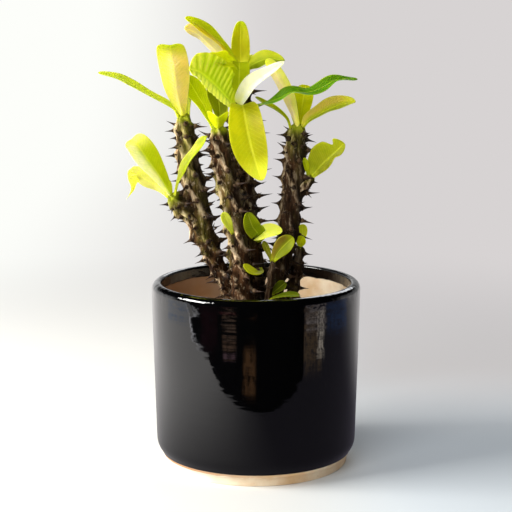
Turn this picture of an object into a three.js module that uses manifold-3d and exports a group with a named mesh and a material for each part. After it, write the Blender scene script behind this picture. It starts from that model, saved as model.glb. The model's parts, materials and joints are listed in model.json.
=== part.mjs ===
// Potted euphorbia: a thick-stemmed crown of thorns in a round glazed pot.
// Millimetres, +Z up. The origin is the middle of the pot's underside, and the front looks along -Y.

import * as THREE from 'three';
import Module from 'manifold-3d';
import { mergeVertices } from 'three/addons/utils/BufferGeometryUtils.js';

const wasm = await Module();
wasm.setup();

// Clear distance between pieces that touch on the real plant
const GAP = 0.3;

// Pot
const POT_HEIGHT = 124;
const POT_FLOOR = 7;
const RIM_RADIUS = 70;
const WAIST_RADIUS = 67.5;
const FOOT_RADIUS = 61.8;
const GLAZE_EDGE_RADIUS = 63.5;
const GLAZE_EDGE_HEIGHT = 6.6;
const CORNER_RADIUS = 13;
const CORNER_DROP = 2.4;
const CORNER_START = -36;
const FOOT_BEVEL = 0.8;
const GLAZE_STEP = 0.9;
const FLARE_END = 114;
const LIP_OUTER_ROUND = 4.6;
const LIP_INNER_ROUND = 1.8;
const MOUTH_RADIUS = 63.6;
const INSIDE_BOTTOM_RADIUS = 61;
const INSIDE_CORNER_RADIUS = 8;
const POT_SIDES = 40;

// Potting soil
const SOIL_TOP = 96;
const SOIL_MOUND = 1.6;
const SOIL_MOUND_SPREAD = 30;
const SOIL_CLODS = 0.8;
const SOIL_RINGS = 3;

// Stems: a ribbed tube round each centreline, with thorns on turning rows
const STEM_SIDES = 10;
const STEM_STEP = 7;
const RIB_DEPTH = 0.1;
const RIB_TURN = 0.012;
const SHOULDER_RADIUS = 0.72;
const SHOULDER_RISE = 0.55;
const TIP_RISE = 0.85;
const THORN_ANGLE = Math.PI * (3 - Math.sqrt(5));
const THORN_ROOT = 1.7;
const THORN_STRETCH = 1.5;
const THORN_SEAT = 0.96;
const THORN_LEAN = 0.12;
const THORN_CLEAR = 0.45;
const CROWDED_TIP = 14;
const CROWDED_RADIUS = 3.5;
const CROWDED_LEAN = 0.5;
const CROWDED_LENGTH = 0.9;

// Leaves
const BLADE_THICKNESS = 0.8;
const PETIOLE_WIDTH = 2.4;
const BITE_LENGTH = 0.07;
const PLEAT_HEIGHT = 0.7;
const RUFFLE_SHIFT = 0.3;
const RUFFLE_HALF_WIDTH = 4;
const SLOPE_STEP = 0.01;
const LAST_SLOPE = 0.97;

// Rounded stretch of an outline: points on a circle between two angles in degrees
function arc(centreR, centreZ, radius, from, to, steps) {
  const points = [];
  for (let i = 0; i <= steps; i++) {
    const angle = THREE.MathUtils.degToRad(from + (to - from) * i / steps);
    points.push(new THREE.Vector2(centreR + radius * Math.cos(angle), centreZ + radius * Math.sin(angle)));
  }
  return points;
}

// Closed solid from a three.js geometry, turned right side out
function solid(geometry) {
  geometry.deleteAttribute('normal');
  geometry.deleteAttribute('uv');
  const merged = mergeVertices(geometry, 1e-4);
  const vertProperties = merged.attributes.position.array;
  const triVerts = Uint32Array.from(merged.index.array);
  const shape = new wasm.Manifold(new wasm.Mesh({ numProp: 3, vertProperties, triVerts }));
  if (shape.volume() > 0) return shape;
  for (let i = 0; i < triVerts.length; i += 3) {
    [triVerts[i], triVerts[i + 1]] = [triVerts[i + 1], triVerts[i]];
  }
  return new wasm.Manifold(new wasm.Mesh({ numProp: 3, vertProperties, triVerts }));
}

// three.js geometry from a closed solid
function geometryOf(shape) {
  const mesh = shape.getMesh();
  const geometry = new THREE.BufferGeometry();
  geometry.setAttribute('position', new THREE.BufferAttribute(mesh.vertProperties, 3));
  geometry.setIndex(new THREE.BufferAttribute(mesh.triVerts, 1));
  geometry.computeVertexNormals();
  return geometry;
}

// The largest body of a cut solid, without the scraps
function largestBody(shape) {
  return shape.decompose().reduce((best, body) => (body.volume() > best.volume() ? body : best));
}

// Turned solid about the Z axis from an outline of radius and height
function turned(outline, sides) {
  return solid(new THREE.LatheGeometry(outline, sides).rotateX(Math.PI / 2));
}

// Pot: flat foot, rounded lower corner, slightly flared wall, rounded lip, straight inside
function potOutline() {
  const cornerCentre = [WAIST_RADIUS - CORNER_RADIUS, GLAZE_EDGE_HEIGHT + CORNER_RADIUS - CORNER_DROP];
  const outerLip = [RIM_RADIUS - LIP_OUTER_ROUND, POT_HEIGHT - LIP_OUTER_ROUND];
  const innerLip = [MOUTH_RADIUS + LIP_INNER_ROUND, POT_HEIGHT - LIP_INNER_ROUND];
  const insideCorner = [INSIDE_BOTTOM_RADIUS - INSIDE_CORNER_RADIUS, POT_FLOOR + INSIDE_CORNER_RADIUS];
  return [
    new THREE.Vector2(0, 0),
    new THREE.Vector2(FOOT_RADIUS - FOOT_BEVEL, 0),
    new THREE.Vector2(FOOT_RADIUS, FOOT_BEVEL),
    new THREE.Vector2(FOOT_RADIUS, GLAZE_EDGE_HEIGHT - GLAZE_STEP),
    new THREE.Vector2(GLAZE_EDGE_RADIUS, GLAZE_EDGE_HEIGHT),
    ...arc(...cornerCentre, CORNER_RADIUS, CORNER_START, 0, 3),
    new THREE.Vector2(RIM_RADIUS, FLARE_END),
    ...arc(...outerLip, LIP_OUTER_ROUND, 0, 84, 3),
    ...arc(...innerLip, LIP_INNER_ROUND, 110, 180, 2),
    new THREE.Vector2(INSIDE_BOTTOM_RADIUS, POT_FLOOR + INSIDE_CORNER_RADIUS),
    ...arc(...insideCorner, INSIDE_CORNER_RADIUS, -30, -90, 2),
    new THREE.Vector2(0, POT_FLOOR),
  ];
}

// Inside radius of the pot at a height, on its straight stretch
function insideRadius(z) {
  const bottom = POT_FLOOR + INSIDE_CORNER_RADIUS;
  const top = POT_HEIGHT - LIP_INNER_ROUND;
  return THREE.MathUtils.mapLinear(z, bottom, top, INSIDE_BOTTOM_RADIUS, MOUTH_RADIUS);
}

// Height of the soil's uneven top
function soilHeight(x, y) {
  const mound = SOIL_MOUND * Math.exp(-(x * x + y * y) / SOIL_MOUND_SPREAD ** 2);
  const clods = Math.sin(x / 5.1 + 1.3) * Math.cos(y / 6.3) + 0.6 * Math.sin((x + y) / 3.7);
  return SOIL_TOP + mound + SOIL_CLODS * clods;
}

// Soil: fills the pot up to its uneven top, with one plain hole for each stem
function soilSolid(stemHoles) {
  const rim = insideRadius(SOIL_TOP) - GAP;
  const corner = INSIDE_BOTTOM_RADIUS - GAP;
  const outline = [
    new THREE.Vector2(0, POT_FLOOR + GAP),
    new THREE.Vector2(corner - INSIDE_CORNER_RADIUS, POT_FLOOR + GAP),
    new THREE.Vector2(corner, POT_FLOOR + INSIDE_CORNER_RADIUS + GAP),
  ];
  for (let i = SOIL_RINGS; i >= 0; i--) {
    outline.push(new THREE.Vector2(rim * i / SOIL_RINGS, SOIL_TOP));
  }
  const geometry = new THREE.LatheGeometry(outline, POT_SIDES).rotateX(Math.PI / 2);
  const position = geometry.attributes.position;
  for (let i = 0; i < position.count; i++) {
    if (position.getZ(i) < SOIL_TOP - 1) continue;
    position.setZ(i, soilHeight(position.getX(i), position.getY(i)));
  }
  return stemHoles.reduce((soil, hole) => soil.subtract(hole), solid(geometry));
}

// Point, direction and radius of a stem's centreline at a share of its length
function stemAt(curve, radii, share) {
  const place = share * (radii.length - 1);
  const low = Math.min(Math.floor(place), radii.length - 2);
  return {
    point: curve.getPoint(share),
    along: curve.getTangent(share),
    radius: THREE.MathUtils.lerp(radii[low], radii[low + 1], place - low),
  };
}

// Two directions square to a stem's run, the first one to its right
function crossDirections(along) {
  const right = new THREE.Vector3(1, 0, 0);
  right.addScaledVector(along, -right.dot(along)).normalize();
  return [right, new THREE.Vector3().crossVectors(along, right)];
}

// Ribbed tube round a centreline of [x, y, z, radius] points, with a domed tip
function stemTube(line, grow) {
  const curve = new THREE.CatmullRomCurve3(line.map(([x, y, z]) => new THREE.Vector3(x, y, z)));
  const radii = line.map((entry) => entry[3]);
  const length = curve.getLength();
  const steps = Math.max(3, Math.round(length / STEM_STEP));
  const positions = [];
  const addRing = (centre, right, back, radius, turn) => {
    for (let side = 0; side < STEM_SIDES; side++) {
      const angle = 2 * Math.PI * side / STEM_SIDES + turn;
      const reach = radius * (1 + (side % 2 ? -RIB_DEPTH : RIB_DEPTH)) + grow;
      const vertex = centre.clone();
      vertex.addScaledVector(right, reach * Math.cos(angle));
      vertex.addScaledVector(back, reach * Math.sin(angle));
      positions.push(...vertex.toArray());
    }
  };
  for (let i = 0; i <= steps; i++) {
    const { point, along, radius } = stemAt(curve, radii, i / steps);
    addRing(point, ...crossDirections(along), radius, RIB_TURN * length * i / steps);
  }
  const tip = stemAt(curve, radii, 1);
  const shoulder = tip.point.clone().addScaledVector(tip.along, SHOULDER_RISE * tip.radius);
  addRing(shoulder, ...crossDirections(tip.along), SHOULDER_RADIUS * tip.radius, RIB_TURN * length);
  const start = curve.getPoint(0);
  const end = tip.point.clone().addScaledVector(tip.along, TIP_RISE * tip.radius + grow);
  positions.push(...start.toArray(), ...end.toArray());
  return solid(tubeGeometry(positions, steps + 2));
}

// Rings of vertices joined into a tube, with a fan at each end
function tubeGeometry(positions, rings) {
  const index = [];
  const first = rings * STEM_SIDES;
  for (let side = 0; side < STEM_SIDES; side++) {
    const next = (side + 1) % STEM_SIDES;
    index.push(first, next, side);
    for (let ring = 0; ring < rings - 1; ring++) {
      const low = ring * STEM_SIDES;
      const high = low + STEM_SIDES;
      index.push(low + side, low + next, high + next);
      index.push(low + side, high + next, high + side);
    }
    const top = (rings - 1) * STEM_SIDES;
    index.push(first + 1, top + side, top + next);
  }
  const geometry = new THREE.BufferGeometry();
  geometry.setAttribute('position', new THREE.Float32BufferAttribute(positions, 3));
  geometry.setIndex(index);
  return geometry;
}

// Three-sided thorn that stands out from a stem, its root sunk into the bark
function thornSolid(root, outward, along, length) {
  const sunk = THORN_ROOT;
  const geometry = new THREE.ConeGeometry(THORN_ROOT, length + sunk, 3);
  geometry.translate(0, (length + sunk) / 2 - sunk, 0);
  const around = new THREE.Vector3().crossVectors(outward, along).normalize();
  const stretched = along.clone().multiplyScalar(THORN_STRETCH);
  geometry.applyMatrix4(new THREE.Matrix4().makeBasis(around, outward, stretched).setPosition(root));
  return solid(geometry);
}

// Length of a stem's thorn number k, from under half of the longest up to all of it
function thornLength(longest, k) {
  return longest * (0.72 + 0.28 * Math.sin(2.4 * k + 1));
}

// Thorns of one centreline: each stands a golden angle round from the one below it, and near a thick
// tip each has another one opposite
function thornsOf(line, { step, length: longest, from }) {
  const curve = new THREE.CatmullRomCurve3(line.map(([x, y, z]) => new THREE.Vector3(x, y, z)));
  const radii = line.map((entry) => entry[3]);
  const run = curve.getLength();
  const thorns = [];
  for (let k = 0, s = from; s < run - 1; k++, s += step) {
    const { point, along, radius } = stemAt(curve, radii, s / run);
    const [right, back] = crossDirections(along);
    const angle = k * THORN_ANGLE;
    const outward = right.clone().multiplyScalar(Math.cos(angle)).addScaledVector(back, Math.sin(angle));
    const root = point.clone().addScaledVector(outward, THORN_SEAT * radius);
    const lean = outward.clone().addScaledVector(along, THORN_LEAN * Math.sin(5 * k)).normalize();
    thorns.push(thornSolid(root, lean, along, thornLength(longest, k)));
    if (s < run - CROWDED_TIP || radius < CROWDED_RADIUS) continue;
    const rear = point.clone().addScaledVector(outward, -THORN_SEAT * radius);
    const upward = outward.clone().negate().addScaledVector(along, CROWDED_LEAN).normalize();
    thorns.push(thornSolid(rear, upward, along, CROWDED_LENGTH * thornLength(longest, k)));
  }
  return thorns;
}

// Stems and shoots: [x, y, z, radius] along each run, then the spacing and length of its thorns
const STEMS = {
  stem_left: {
    colour: 0x4a3f2c,
    runs: [
      {
        line: [
          [-11, 5, 74, 4.9], [-11, 4.8, 90, 5], [-13, 4.5, 106, 5], [-18.8, 3.4, 120, 5.1],
          [-26.6, 1.8, 136, 5.3], [-32.2, 0.6, 149.5, 6.6], [-35.8, -0.5, 158.5, 8], [-38, -0.6, 170, 8],
          [-41.2, 1, 187, 7.2], [-44.4, 2, 203, 7.2], [-46.4, 1, 221, 6.2], [-47.6, 0, 232.2, 4.7],
        ],
        thorns: { step: 2.1, length: 7.5, from: 34 },
      },
      {
        line: [
          [-35.6, -1.6, 158, 5], [-43.9, -4, 168.8, 5.3], [-50.4, -6, 175.1, 5.2], [-54.8, -8, 180.1, 4],
        ],
        thorns: { step: 2.3, length: 5.5, from: 11 },
      },
    ],
  },
  stem_middle: {
    colour: 0x4d4330,
    runs: [{
      line: [
        [-7, -9.6, 74, 6.6], [-7.4, -9.3, 96, 6.7], [-9.2, -8.6, 124, 6.8], [-11.6, -8, 147, 6.8],
        [-15.2, -8, 172, 6.9], [-20.2, -8, 196, 6.9], [-23.4, -8, 214, 6.3], [-24.6, -8, 224.2, 5.2],
      ],
      thorns: { step: 2.1, length: 7.5, from: 34 },
    }],
  },
  stem_tall: {
    colour: 0x47402d,
    runs: [{
      line: [
        [1.6, 12.4, 74, 6.8], [1.2, 12, 96, 7], [-0.8, 10.8, 124, 7.5], [-4, 10, 150, 7.5],
        [-7.6, 10, 175, 7.3], [-9.2, 9, 200, 7.9], [-10, 7, 224, 7.6], [-9.9, 5, 243, 6], [-9.9, 4, 265.4, 4],
      ],
      thorns: { step: 2.1, length: 7.5, from: 34 },
    }],
  },
  stem_right: {
    colour: 0x433a2a,
    runs: [
      {
        line: [
          [12, 1, 74, 4.6], [12.3, 0.5, 96, 4.6], [14.1, 0, 124, 5.3], [20.1, 0, 149.2, 6.3],
          [23.4, 0, 175, 6.6], [25.4, 0, 198, 7.2], [26.5, 0, 216, 6.4], [27.2, 0, 225, 5.3],
        ],
        thorns: { step: 2.2, length: 7, from: 36 },
      },
      {
        line: [[25.4, 0, 184, 3.2], [29.2, -1, 186.5, 3.3], [33.2, -2, 189.3, 3.3], [36.2, -3, 193, 2.8]],
        thorns: { step: 1.9, length: 4, from: 6.5 },
      },
    ],
  },
  shoot_right: {
    colour: 0x2f2b20,
    runs: [{
      line: [[23, 8.5, 80, 3.2], [23.4, 8, 100, 3.3], [25.8, 8, 120.3, 3.6], [27.7, 7, 133, 3.6],
        [29.2, 6, 143.5, 2.8]],
      thorns: { step: 1.9, length: 4.2, from: 22 },
    }],
  },
  shoot_front: {
    colour: 0x6a6a35,
    runs: [{
      line: [[6, -12, 82, 1.9], [6.6, -12, 104, 2], [9.3, -12, 122.9, 2], [11.3, -12, 138, 1.7]],
      thorns: { step: 4.5, length: 2.4, from: 31 },
    }],
  },
};

// Half the width of a blade at a share of its length: narrow stalk, widest past the middle, round tip
function halfWidth({ width, outline: [swell, close] }, u) {
  const widest = swell / (swell + close);
  const body = (u / widest) ** swell * ((1 - u) / (1 - widest)) ** close;
  return Math.hypot(0.5 * PETIOLE_WIDTH * (1 - u), 0.5 * width * body);
}

// Share of the half width that is left where an edge is bitten in or one half is the wider
function edgeShare({ skew, bites }, u, v) {
  const bitten = bites.reduce((share, [place, side, depth]) => {
    const near = Math.exp(-(((u - place) / BITE_LENGTH) ** 2));
    return share * (1 - depth * near * Math.max(0, side * v));
  }, 1);
  return bitten * (1 + skew * v);
}

// The way a blade's upper face looks at a share of its length, blended between evenly spaced hints
function faceAt(hints, u) {
  const place = u * (hints.length - 1);
  const low = Math.min(Math.floor(place), hints.length - 2);
  return new THREE.Vector3(...hints[low]).lerp(new THREE.Vector3(...hints[low + 1]), place - low);
}

// Point of a blade: u runs from stalk to tip, v from one edge (-1) over the midrib (0) to the other (1)
function bladePoint(leaf, curve, u, v) {
  const along = curve.getTangentAt(u);
  const face = faceAt(leaf.face, u);
  const up = face.addScaledVector(along, -face.dot(along)).normalize();
  const across = new THREE.Vector3().crossVectors(along, up);
  const half = halfWidth(leaf, u);
  const fold = THREE.MathUtils.degToRad(leaf.fold);
  const edge = Math.abs(v);
  const [waveHeight, waveCount] = leaf.wave;
  const turns = waveCount * u + (v < 0 ? RUFFLE_SHIFT : 0);
  const ruffle = waveHeight * edge ** 1.5 * Math.sin(2 * Math.PI * turns);
  const pleat = leaf.pleats ? PLEAT_HEIGHT * edge * Math.cos(2 * Math.PI * leaf.pleats * u) : 0;
  const reach = half * edgeShare(leaf, u, v);
  const lift = edge * reach * Math.sin(fold) + (ruffle + pleat) * Math.min(1, half / RUFFLE_HALF_WIDTH);
  return curve.getPointAt(u).addScaledVector(across, v * reach * Math.cos(fold)).addScaledVector(up, lift);
}

// Leaf blade: one closed solid of even thickness, split into triangles alike on both faces
function bladeSolid(leaf, grow = 0) {
  const curve = new THREE.CatmullRomCurve3(leaf.line.map((point) => new THREE.Vector3(...point)));
  const { rows, cells } = leaf;
  const spread = 1 + grow / (0.5 * leaf.width);
  const offset = BLADE_THICKNESS / 2 + grow;
  const positions = [];
  const addPair = (u, v) => {
    const before = bladePoint(leaf, curve, Math.max(u - SLOPE_STEP, 0), v);
    const alongBlade = bladePoint(leaf, curve, Math.min(u + SLOPE_STEP, 1), v).sub(before);
    const acrossBlade = bladePoint(leaf, curve, Math.min(u, LAST_SLOPE), v + SLOPE_STEP);
    acrossBlade.sub(bladePoint(leaf, curve, Math.min(u, LAST_SLOPE), v - SLOPE_STEP));
    const normal = alongBlade.cross(acrossBlade).normalize();
    const middle = bladePoint(leaf, curve, u, v * spread);
    positions.push(...middle.clone().addScaledVector(normal, offset).toArray());
    positions.push(...middle.addScaledVector(normal, -offset).toArray());
  };
  for (let row = 0; row < rows; row++) {
    for (let cell = 0; cell <= cells; cell++) addPair(row / rows, 2 * cell / cells - 1);
  }
  addPair(1, 0);
  const geometry = new THREE.BufferGeometry();
  geometry.setAttribute('position', new THREE.Float32BufferAttribute(positions, 3));
  geometry.setIndex(bladeFaces(rows, cells));
  return solid(geometry);
}

// Triangles of a blade whose vertices come in pairs, upper then lower, row by row
function bladeFaces(rows, cells) {
  const index = [];
  const upper = (row, cell) => 2 * (row * (cells + 1) + cell);
  const tip = 2 * rows * (cells + 1);
  const both = (a, b, c) => index.push(a, b, c, a + 1, c + 1, b + 1);
  const wall = (a, b) => index.push(a, a + 1, b + 1, a, b + 1, b);
  for (let row = 0; row < rows - 1; row++) {
    for (let cell = 0; cell < cells; cell++) {
      const a = upper(row, cell);
      const b = upper(row + 1, cell);
      const c = upper(row + 1, cell + 1);
      const d = upper(row, cell + 1);
      if (cell < cells / 2) {
        both(a, b, c);
        both(a, c, d);
      } else {
        both(a, b, d);
        both(b, c, d);
      }
    }
    wall(upper(row, 0), upper(row + 1, 0));
    wall(upper(row + 1, cells), upper(row, cells));
  }
  for (let cell = 0; cell < cells; cell++) {
    wall(upper(0, cell + 1), upper(0, cell));
    both(upper(rows - 1, cell), tip, upper(rows - 1, cell + 1));
  }
  wall(upper(rows - 1, 0), tip);
  wall(tip, upper(rows - 1, cells));
  return index;
}

// Leaves: midrib from stalk to tip, then the way the upper face looks from stalk to tip
const LEAF = {
  width: 12, fold: 18, wave: [0.5, 2], outline: [1.2, 0.5], skew: 0, bites: [], rows: 7, cells: 4,
  colour: 0xa9bf1e,
};
const SMALL = { ...LEAF, wave: [0, 1], rows: 5, cells: 2 };
const LEAVES = {
  leaf_left_long: {
    ...LEAF, width: 13, rows: 9, colour: 0xa4c422,
    line: [[-50.6, -1, 232.6], [-62.9, -4, 244.4], [-82.1, -8, 256.6], [-102.4, -12, 264.8]],
    face: [[0.5, -0.2, 0.8], [0.3, -0.35, 0.9]],
  },
  leaf_left_blush: {
    ...LEAF, width: 21, fold: 12, outline: [0.7, 0.26], rows: 10, colour: 0xd9c24e,
    line: [[-47.8, -3.2, 234], [-51.2, -6, 248.1], [-53.4, -8.5, 264.2], [-55.3, -10.5, 277],
      [-55.4, -15, 281.1]],
    face: [[0.1, 1, 0.1], [0, 0.5, 1]],
  },
  leaf_left_shaded: {
    ...LEAF, colour: 0x8d9c14,
    line: [[-44.6, 2.4, 233.4], [-46, 7, 244.2], [-49.8, 11, 257.1], [-52.5, 13, 266.9]],
    face: [[-0.2, -1, 0.2], [-0.2, -1, 0.4]],
  },
  leaf_left_rear: {
    ...LEAF, colour: 0x8fa31a,
    line: [[-48.6, 3.8, 233], [-51, 16, 243], [-55, 29, 253]],
    face: [[0, -0.5, 1], [0, -0.3, 1]],
  },
  leaf_low_drooping: {
    ...LEAF, width: 18, outline: [0.9, 0.3], rows: 9, colour: 0xa9b81c,
    line: [[-56.2, -9.4, 182.6], [-62.6, -13, 195.1], [-70.8, -16, 207.3], [-76.8, -17, 216.5],
      [-81.3, -14, 220.2]],
    face: [[0.3, -0.8, 0.5], [0.1, -0.9, 0.4]],
  },
  leaf_low_pale: {
    ...LEAF, width: 19, fold: 8, outline: [1.3, 2.4], rows: 13, colour: 0xe6dc5a,
    line: [[-57.8, -7.4, 180.6], [-63.2, -5, 187.6], [-71.7, -7, 192.7], [-78.6, -9, 196.4],
      [-80.2, -11, 193.3], [-80.8, -12, 187.4], [-86.4, -12, 178.6]],
    face: [[0.3, 0.7, 0.6], [0.3, 0.7, 0.6], [0.3, 0.7, 0.6], [-0.7, 0.4, -0.3], [-1, 0.2, 0]],
  },
  leaf_low_rear: {
    ...LEAF, colour: 0x9aa81c,
    line: [[-55.8, -5.2, 181.4], [-61, 6, 187], [-69, 17, 189.6]],
    face: [[0.3, -0.6, 0.8], [0.2, -0.3, 1]],
  },
  leaf_low_narrow: {
    ...LEAF, width: 9.5, fold: 32, wave: [0.8, 2], rows: 8, colour: 0xd5e04a,
    line: [[-53.4, -10.6, 182.4], [-50.8, -13, 192], [-45.6, -14.5, 202.4], [-38.6, -15.5, 212.6],
      [-31.8, -16, 222.3]],
    face: [[-0.7, -0.6, 0.3], [-0.7, -0.6, 0.3]],
  },
  leaf_middle_cup: {
    ...LEAF, width: 19, fold: 42, wave: [0, 1], outline: [0.8, 0.5], rows: 6, colour: 0xb6c62a,
    line: [[-25, -11, 226.4], [-24.8, -14, 231.4], [-24.4, -19, 235]],
    face: [[0, 0.6, 0.8], [0, 0.4, 0.9]],
  },
  leaf_middle_shaded: {
    ...LEAF, width: 15, colour: 0x7c8412,
    line: [[-23.2, -5.6, 227.6], [-24, -2, 239.5], [-25.4, 1, 248.8], [-27.6, 3, 257]],
    face: [[0.1, -1, 0.2], [0.1, -1, 0.3]],
  },
  leaf_middle_left: {
    ...LEAF, width: 14, colour: 0x9aa714,
    line: [[-28, -7.6, 226], [-33.4, -4, 239.6], [-39.5, 0, 249.3], [-46.1, 3, 260.2]],
    face: [[0.4, -0.9, 0.3], [0.3, -0.9, 0.3]],
  },
  leaf_middle_rear: {
    ...LEAF, colour: 0x8fa31a,
    line: [[-22.4, -4.6, 226.2], [-23.6, 9, 236.8], [-27, 21, 247.5]],
    face: [[0, -0.5, 1], [0, -0.3, 1]],
  },
  leaf_tall_ribbed: {
    ...LEAF, width: 27, fold: 20, wave: [0, 1], outline: [0.6, 0.4], skew: 0.22, pleats: 9, rows: 19,
    colour: 0xb9d832,
    line: [[-13.6, 0.8, 239.4], [-18.8, -8, 246.7], [-27.9, -18, 257.2], [-36, -24, 264.2],
      [-42.6, -27, 266.4]],
    face: [[0.1, -0.8, 0.6], [-0.1, -0.8, 0.6]],
  },
  leaf_tall_white: {
    ...LEAF, fold: 26, outline: [0.5, 0.6], rows: 8, colour: 0xf4f1d0,
    line: [[-10.6, -0.6, 243.4], [-8.8, -8, 248.9], [-2.4, -13, 256.6], [7, -17, 263.4],
      [18.4, -20, 270.8]],
    face: [[-0.6, -0.6, 0.5], [-0.5, -0.6, 0.6]],
  },
  leaf_tall_hanging: {
    ...LEAF, width: 25, fold: 16, outline: [0.9, 0.55], rows: 10, colour: 0xc6cf1c,
    line: [[-8.4, -0.6, 237.6], [-8.8, -10, 242], [-7.8, -17, 238.2], [-5.9, -22, 225.8], [-2, -24, 209],
      [4, -23, 194.3]],
    face: [[0, -0.2, 1], [-0.5, -0.9, 0.1]],
  },
  leaf_tall_wavy: {
    ...LEAF, width: 10.4, wave: [1.4, 2.6], outline: [0.6, 0.5], rows: 14, colour: 0x4d8f1e,
    line: [[-4.8, 1.8, 238.4], [3.9, -7, 242.4], [15.6, -14, 247], [23.5, -16, 251], [33.8, -17, 250.8],
      [42.9, -17, 254], [51.4, -16, 258.6], [65.8, -14, 259.2]],
    face: [[0.1, -0.4, 0.9], [-0.1, -0.6, 0.8]],
  },
  leaf_tall_rear: {
    ...LEAF, width: 15, rows: 8, colour: 0x8fa31a,
    line: [[-12, 10.4, 241], [-19.5, 23, 249.8], [-30, 36, 257]],
    face: [[0, -0.5, 1], [0, -0.3, 1]],
  },
  leaf_crown_narrow: {
    ...LEAF, width: 10, fold: 10, rows: 8, colour: 0xb2b818,
    line: [[-12.6, 2, 267.6], [-19.7, -1, 278.4], [-29.3, -4, 287.6], [-38.1, -6, 294.4],
      [-45.9, -7, 298.4]],
    face: [[0.7, -0.5, 0.5], [0.6, -0.6, 0.6]],
  },
  leaf_crown_blush: {
    ...LEAF, width: 14, rows: 8, colour: 0xdcc66a,
    line: [[-13, 5.4, 265.6], [-24.9, 6, 275.5], [-31.1, 6, 281.2], [-37.7, 5, 287.4], [-46.8, 4, 292]],
    face: [[0.5, 0.7, 0.5], [0.5, 0.7, 0.5]],
  },
  leaf_crown_upright: {
    ...LEAF, width: 13, outline: [0.4, 0.42], colour: 0xb8ba12,
    line: [[-9.9, 7.2, 266.4], [-10.2, 9.5, 280.2], [-9.9, 11, 295.9]],
    face: [[0, -1, 0.1], [0, -1, 0.2]],
  },
  leaf_crown_right: {
    ...LEAF, width: 13.5, outline: [1, 0.7], colour: 0xa6bb1e,
    line: [[-6.8, 4.6, 264.4], [-0.6, 4, 268.4], [8, 1, 271.4], [19, -3, 270.6]],
    face: [[-0.3, -0.7, 0.6], [-0.1, -0.7, 0.6]],
  },
  leaf_crown_rear: {
    ...LEAF, width: 13, colour: 0x9cab1c,
    line: [[-9.2, 7.8, 264.6], [-8, 20, 270.5], [-10, 33, 271.5]],
    face: [[0, -0.5, 1], [0.1, -0.1, 1]],
  },
  leaf_crown_front: {
    ...LEAF, width: 13, wave: [1.2, 2.5], outline: [0.8, 0.5], colour: 0xaab21a,
    line: [[-11.8, 0.6, 266.6], [-16, -6, 269.4], [-23.9, -12, 271.4], [-32.6, -15, 271.6]],
    face: [[0, -0.8, 0.6], [0, -0.8, 0.6]],
  },
  leaf_crown_low: {
    ...LEAF, width: 13, wave: [0.8, 1], outline: [0.5, 0.5], colour: 0xa4ac14,
    line: [[-10.4, 0, 264.6], [-9.6, -3.4, 261], [-10.3, -4.4, 256], [-11.2, -4.4, 250.6]],
    face: [[0, -0.8, 0.6], [0, -1, 0]],
  },
  leaf_right_blush: {
    ...LEAF, width: 10, outline: [0.8, 0.4], rows: 8, colour: 0xd3bd55,
    line: [[28, -2.4, 226.6], [21.8, -4, 245.1], [15, -6, 259.5], [6.9, -8, 271.8]],
    face: [[0.2, 0.9, 0.3], [0.2, 0.9, 0.3]],
  },
  leaf_right_back: {
    ...LEAF, width: 14, outline: [0.8, 0.4], colour: 0xa3aa12,
    line: [[28.6, 3.2, 227.2], [30.2, 7, 237.7], [33, 10, 254]],
    face: [[-0.1, -1, 0.2], [-0.1, -1, 0.2]],
  },
  leaf_right_reaching: {
    ...LEAF, width: 14.5, fold: 22, outline: [0.8, 0.5], rows: 9, colour: 0xb8c42c,
    line: [[30.4, -2, 226.4], [35.2, -4, 232.8], [42, -6, 236.8], [49.6, -8, 240.6], [56.6, -9, 243],
      [65, -10, 244.4]],
    face: [[-0.3, 0.75, 0.6], [-0.1, 0.7, 0.7]],
  },
  leaf_right_thin: {
    ...LEAF, width: 6.5, wave: [0, 1], rows: 8, cells: 2, colour: 0x96a51c,
    line: [[23, -0.8, 225.4], [20.2, 1, 232.4], [12.9, 2, 238.5], [5.8, 3, 242.2], [-0.5, 4, 246.4]],
    face: [[0.5, -0.5, 0.7], [0.3, -0.4, 0.9]],
  },
  leaf_right_rear: {
    ...LEAF, colour: 0x8fa31a,
    line: [[26.2, 4.4, 226], [27, 18, 236.4], [25, 31, 244]],
    face: [[0, -0.5, 1], [0, -0.3, 1]],
  },
  leaf_side_broad: {
    ...LEAF, width: 17.5, wave: [1.2, 2], outline: [0.5, 0.45], skew: -0.37,
    bites: [[0.8, -1, 0.5], [0.68, 1, 0.4]], rows: 15, colour: 0xa9ae24,
    line: [[36.6, -4.2, 194.4], [43.4, -8, 202.9], [50.8, -12, 210.5], [57.7, -15, 217.7]],
    face: [[-0.2, -0.9, 0.4], [-0.1, -0.9, 0.4]],
  },
  leaf_side_young: {
    ...SMALL, width: 4, colour: 0x9aa020,
    line: [[34.6, -3.6, 195], [33.4, -6.5, 201.6], [31.8, -8, 207.5]],
    face: [[-0.2, -0.9, 0.4], [-0.2, -0.9, 0.4]],
  },
  leaf_base_slim: {
    ...SMALL, width: 7, colour: 0xb4cc34,
    line: [[-15.2, -13.4, 157.4], [-18.2, -17, 165.5], [-21.4, -18, 173]],
    face: [[-0.2, -1, 0.1], [-0.2, -1, 0.1]],
  },
  leaf_base_round: {
    ...LEAF, wave: [0, 1], outline: [0.7, 0.5], rows: 6, colour: 0x93a812,
    line: [[-0.4, 4.2, 151.6], [1.4, -7, 156.5], [-2.2, -13.4, 162.5], [-5.6, -17, 172.6]],
    face: [[-0.1, -1, 0.3], [-0.1, -1, 0.2]],
  },
  leaf_base_bright: {
    ...LEAF, wave: [0, 1], outline: [0.6, 0.5], rows: 6, colour: 0xcfe03a,
    line: [[1.6, 5, 152], [4, -8, 156.6], [9.4, -11, 158.8], [17.4, -13, 159.4]],
    face: [[-0.4, -0.7, 0.6], [-0.4, -0.7, 0.6]],
  },
  leaf_base_crescent: {
    ...SMALL, width: 6.5, outline: [2.2, 0.6], colour: 0xb6d22a,
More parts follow.
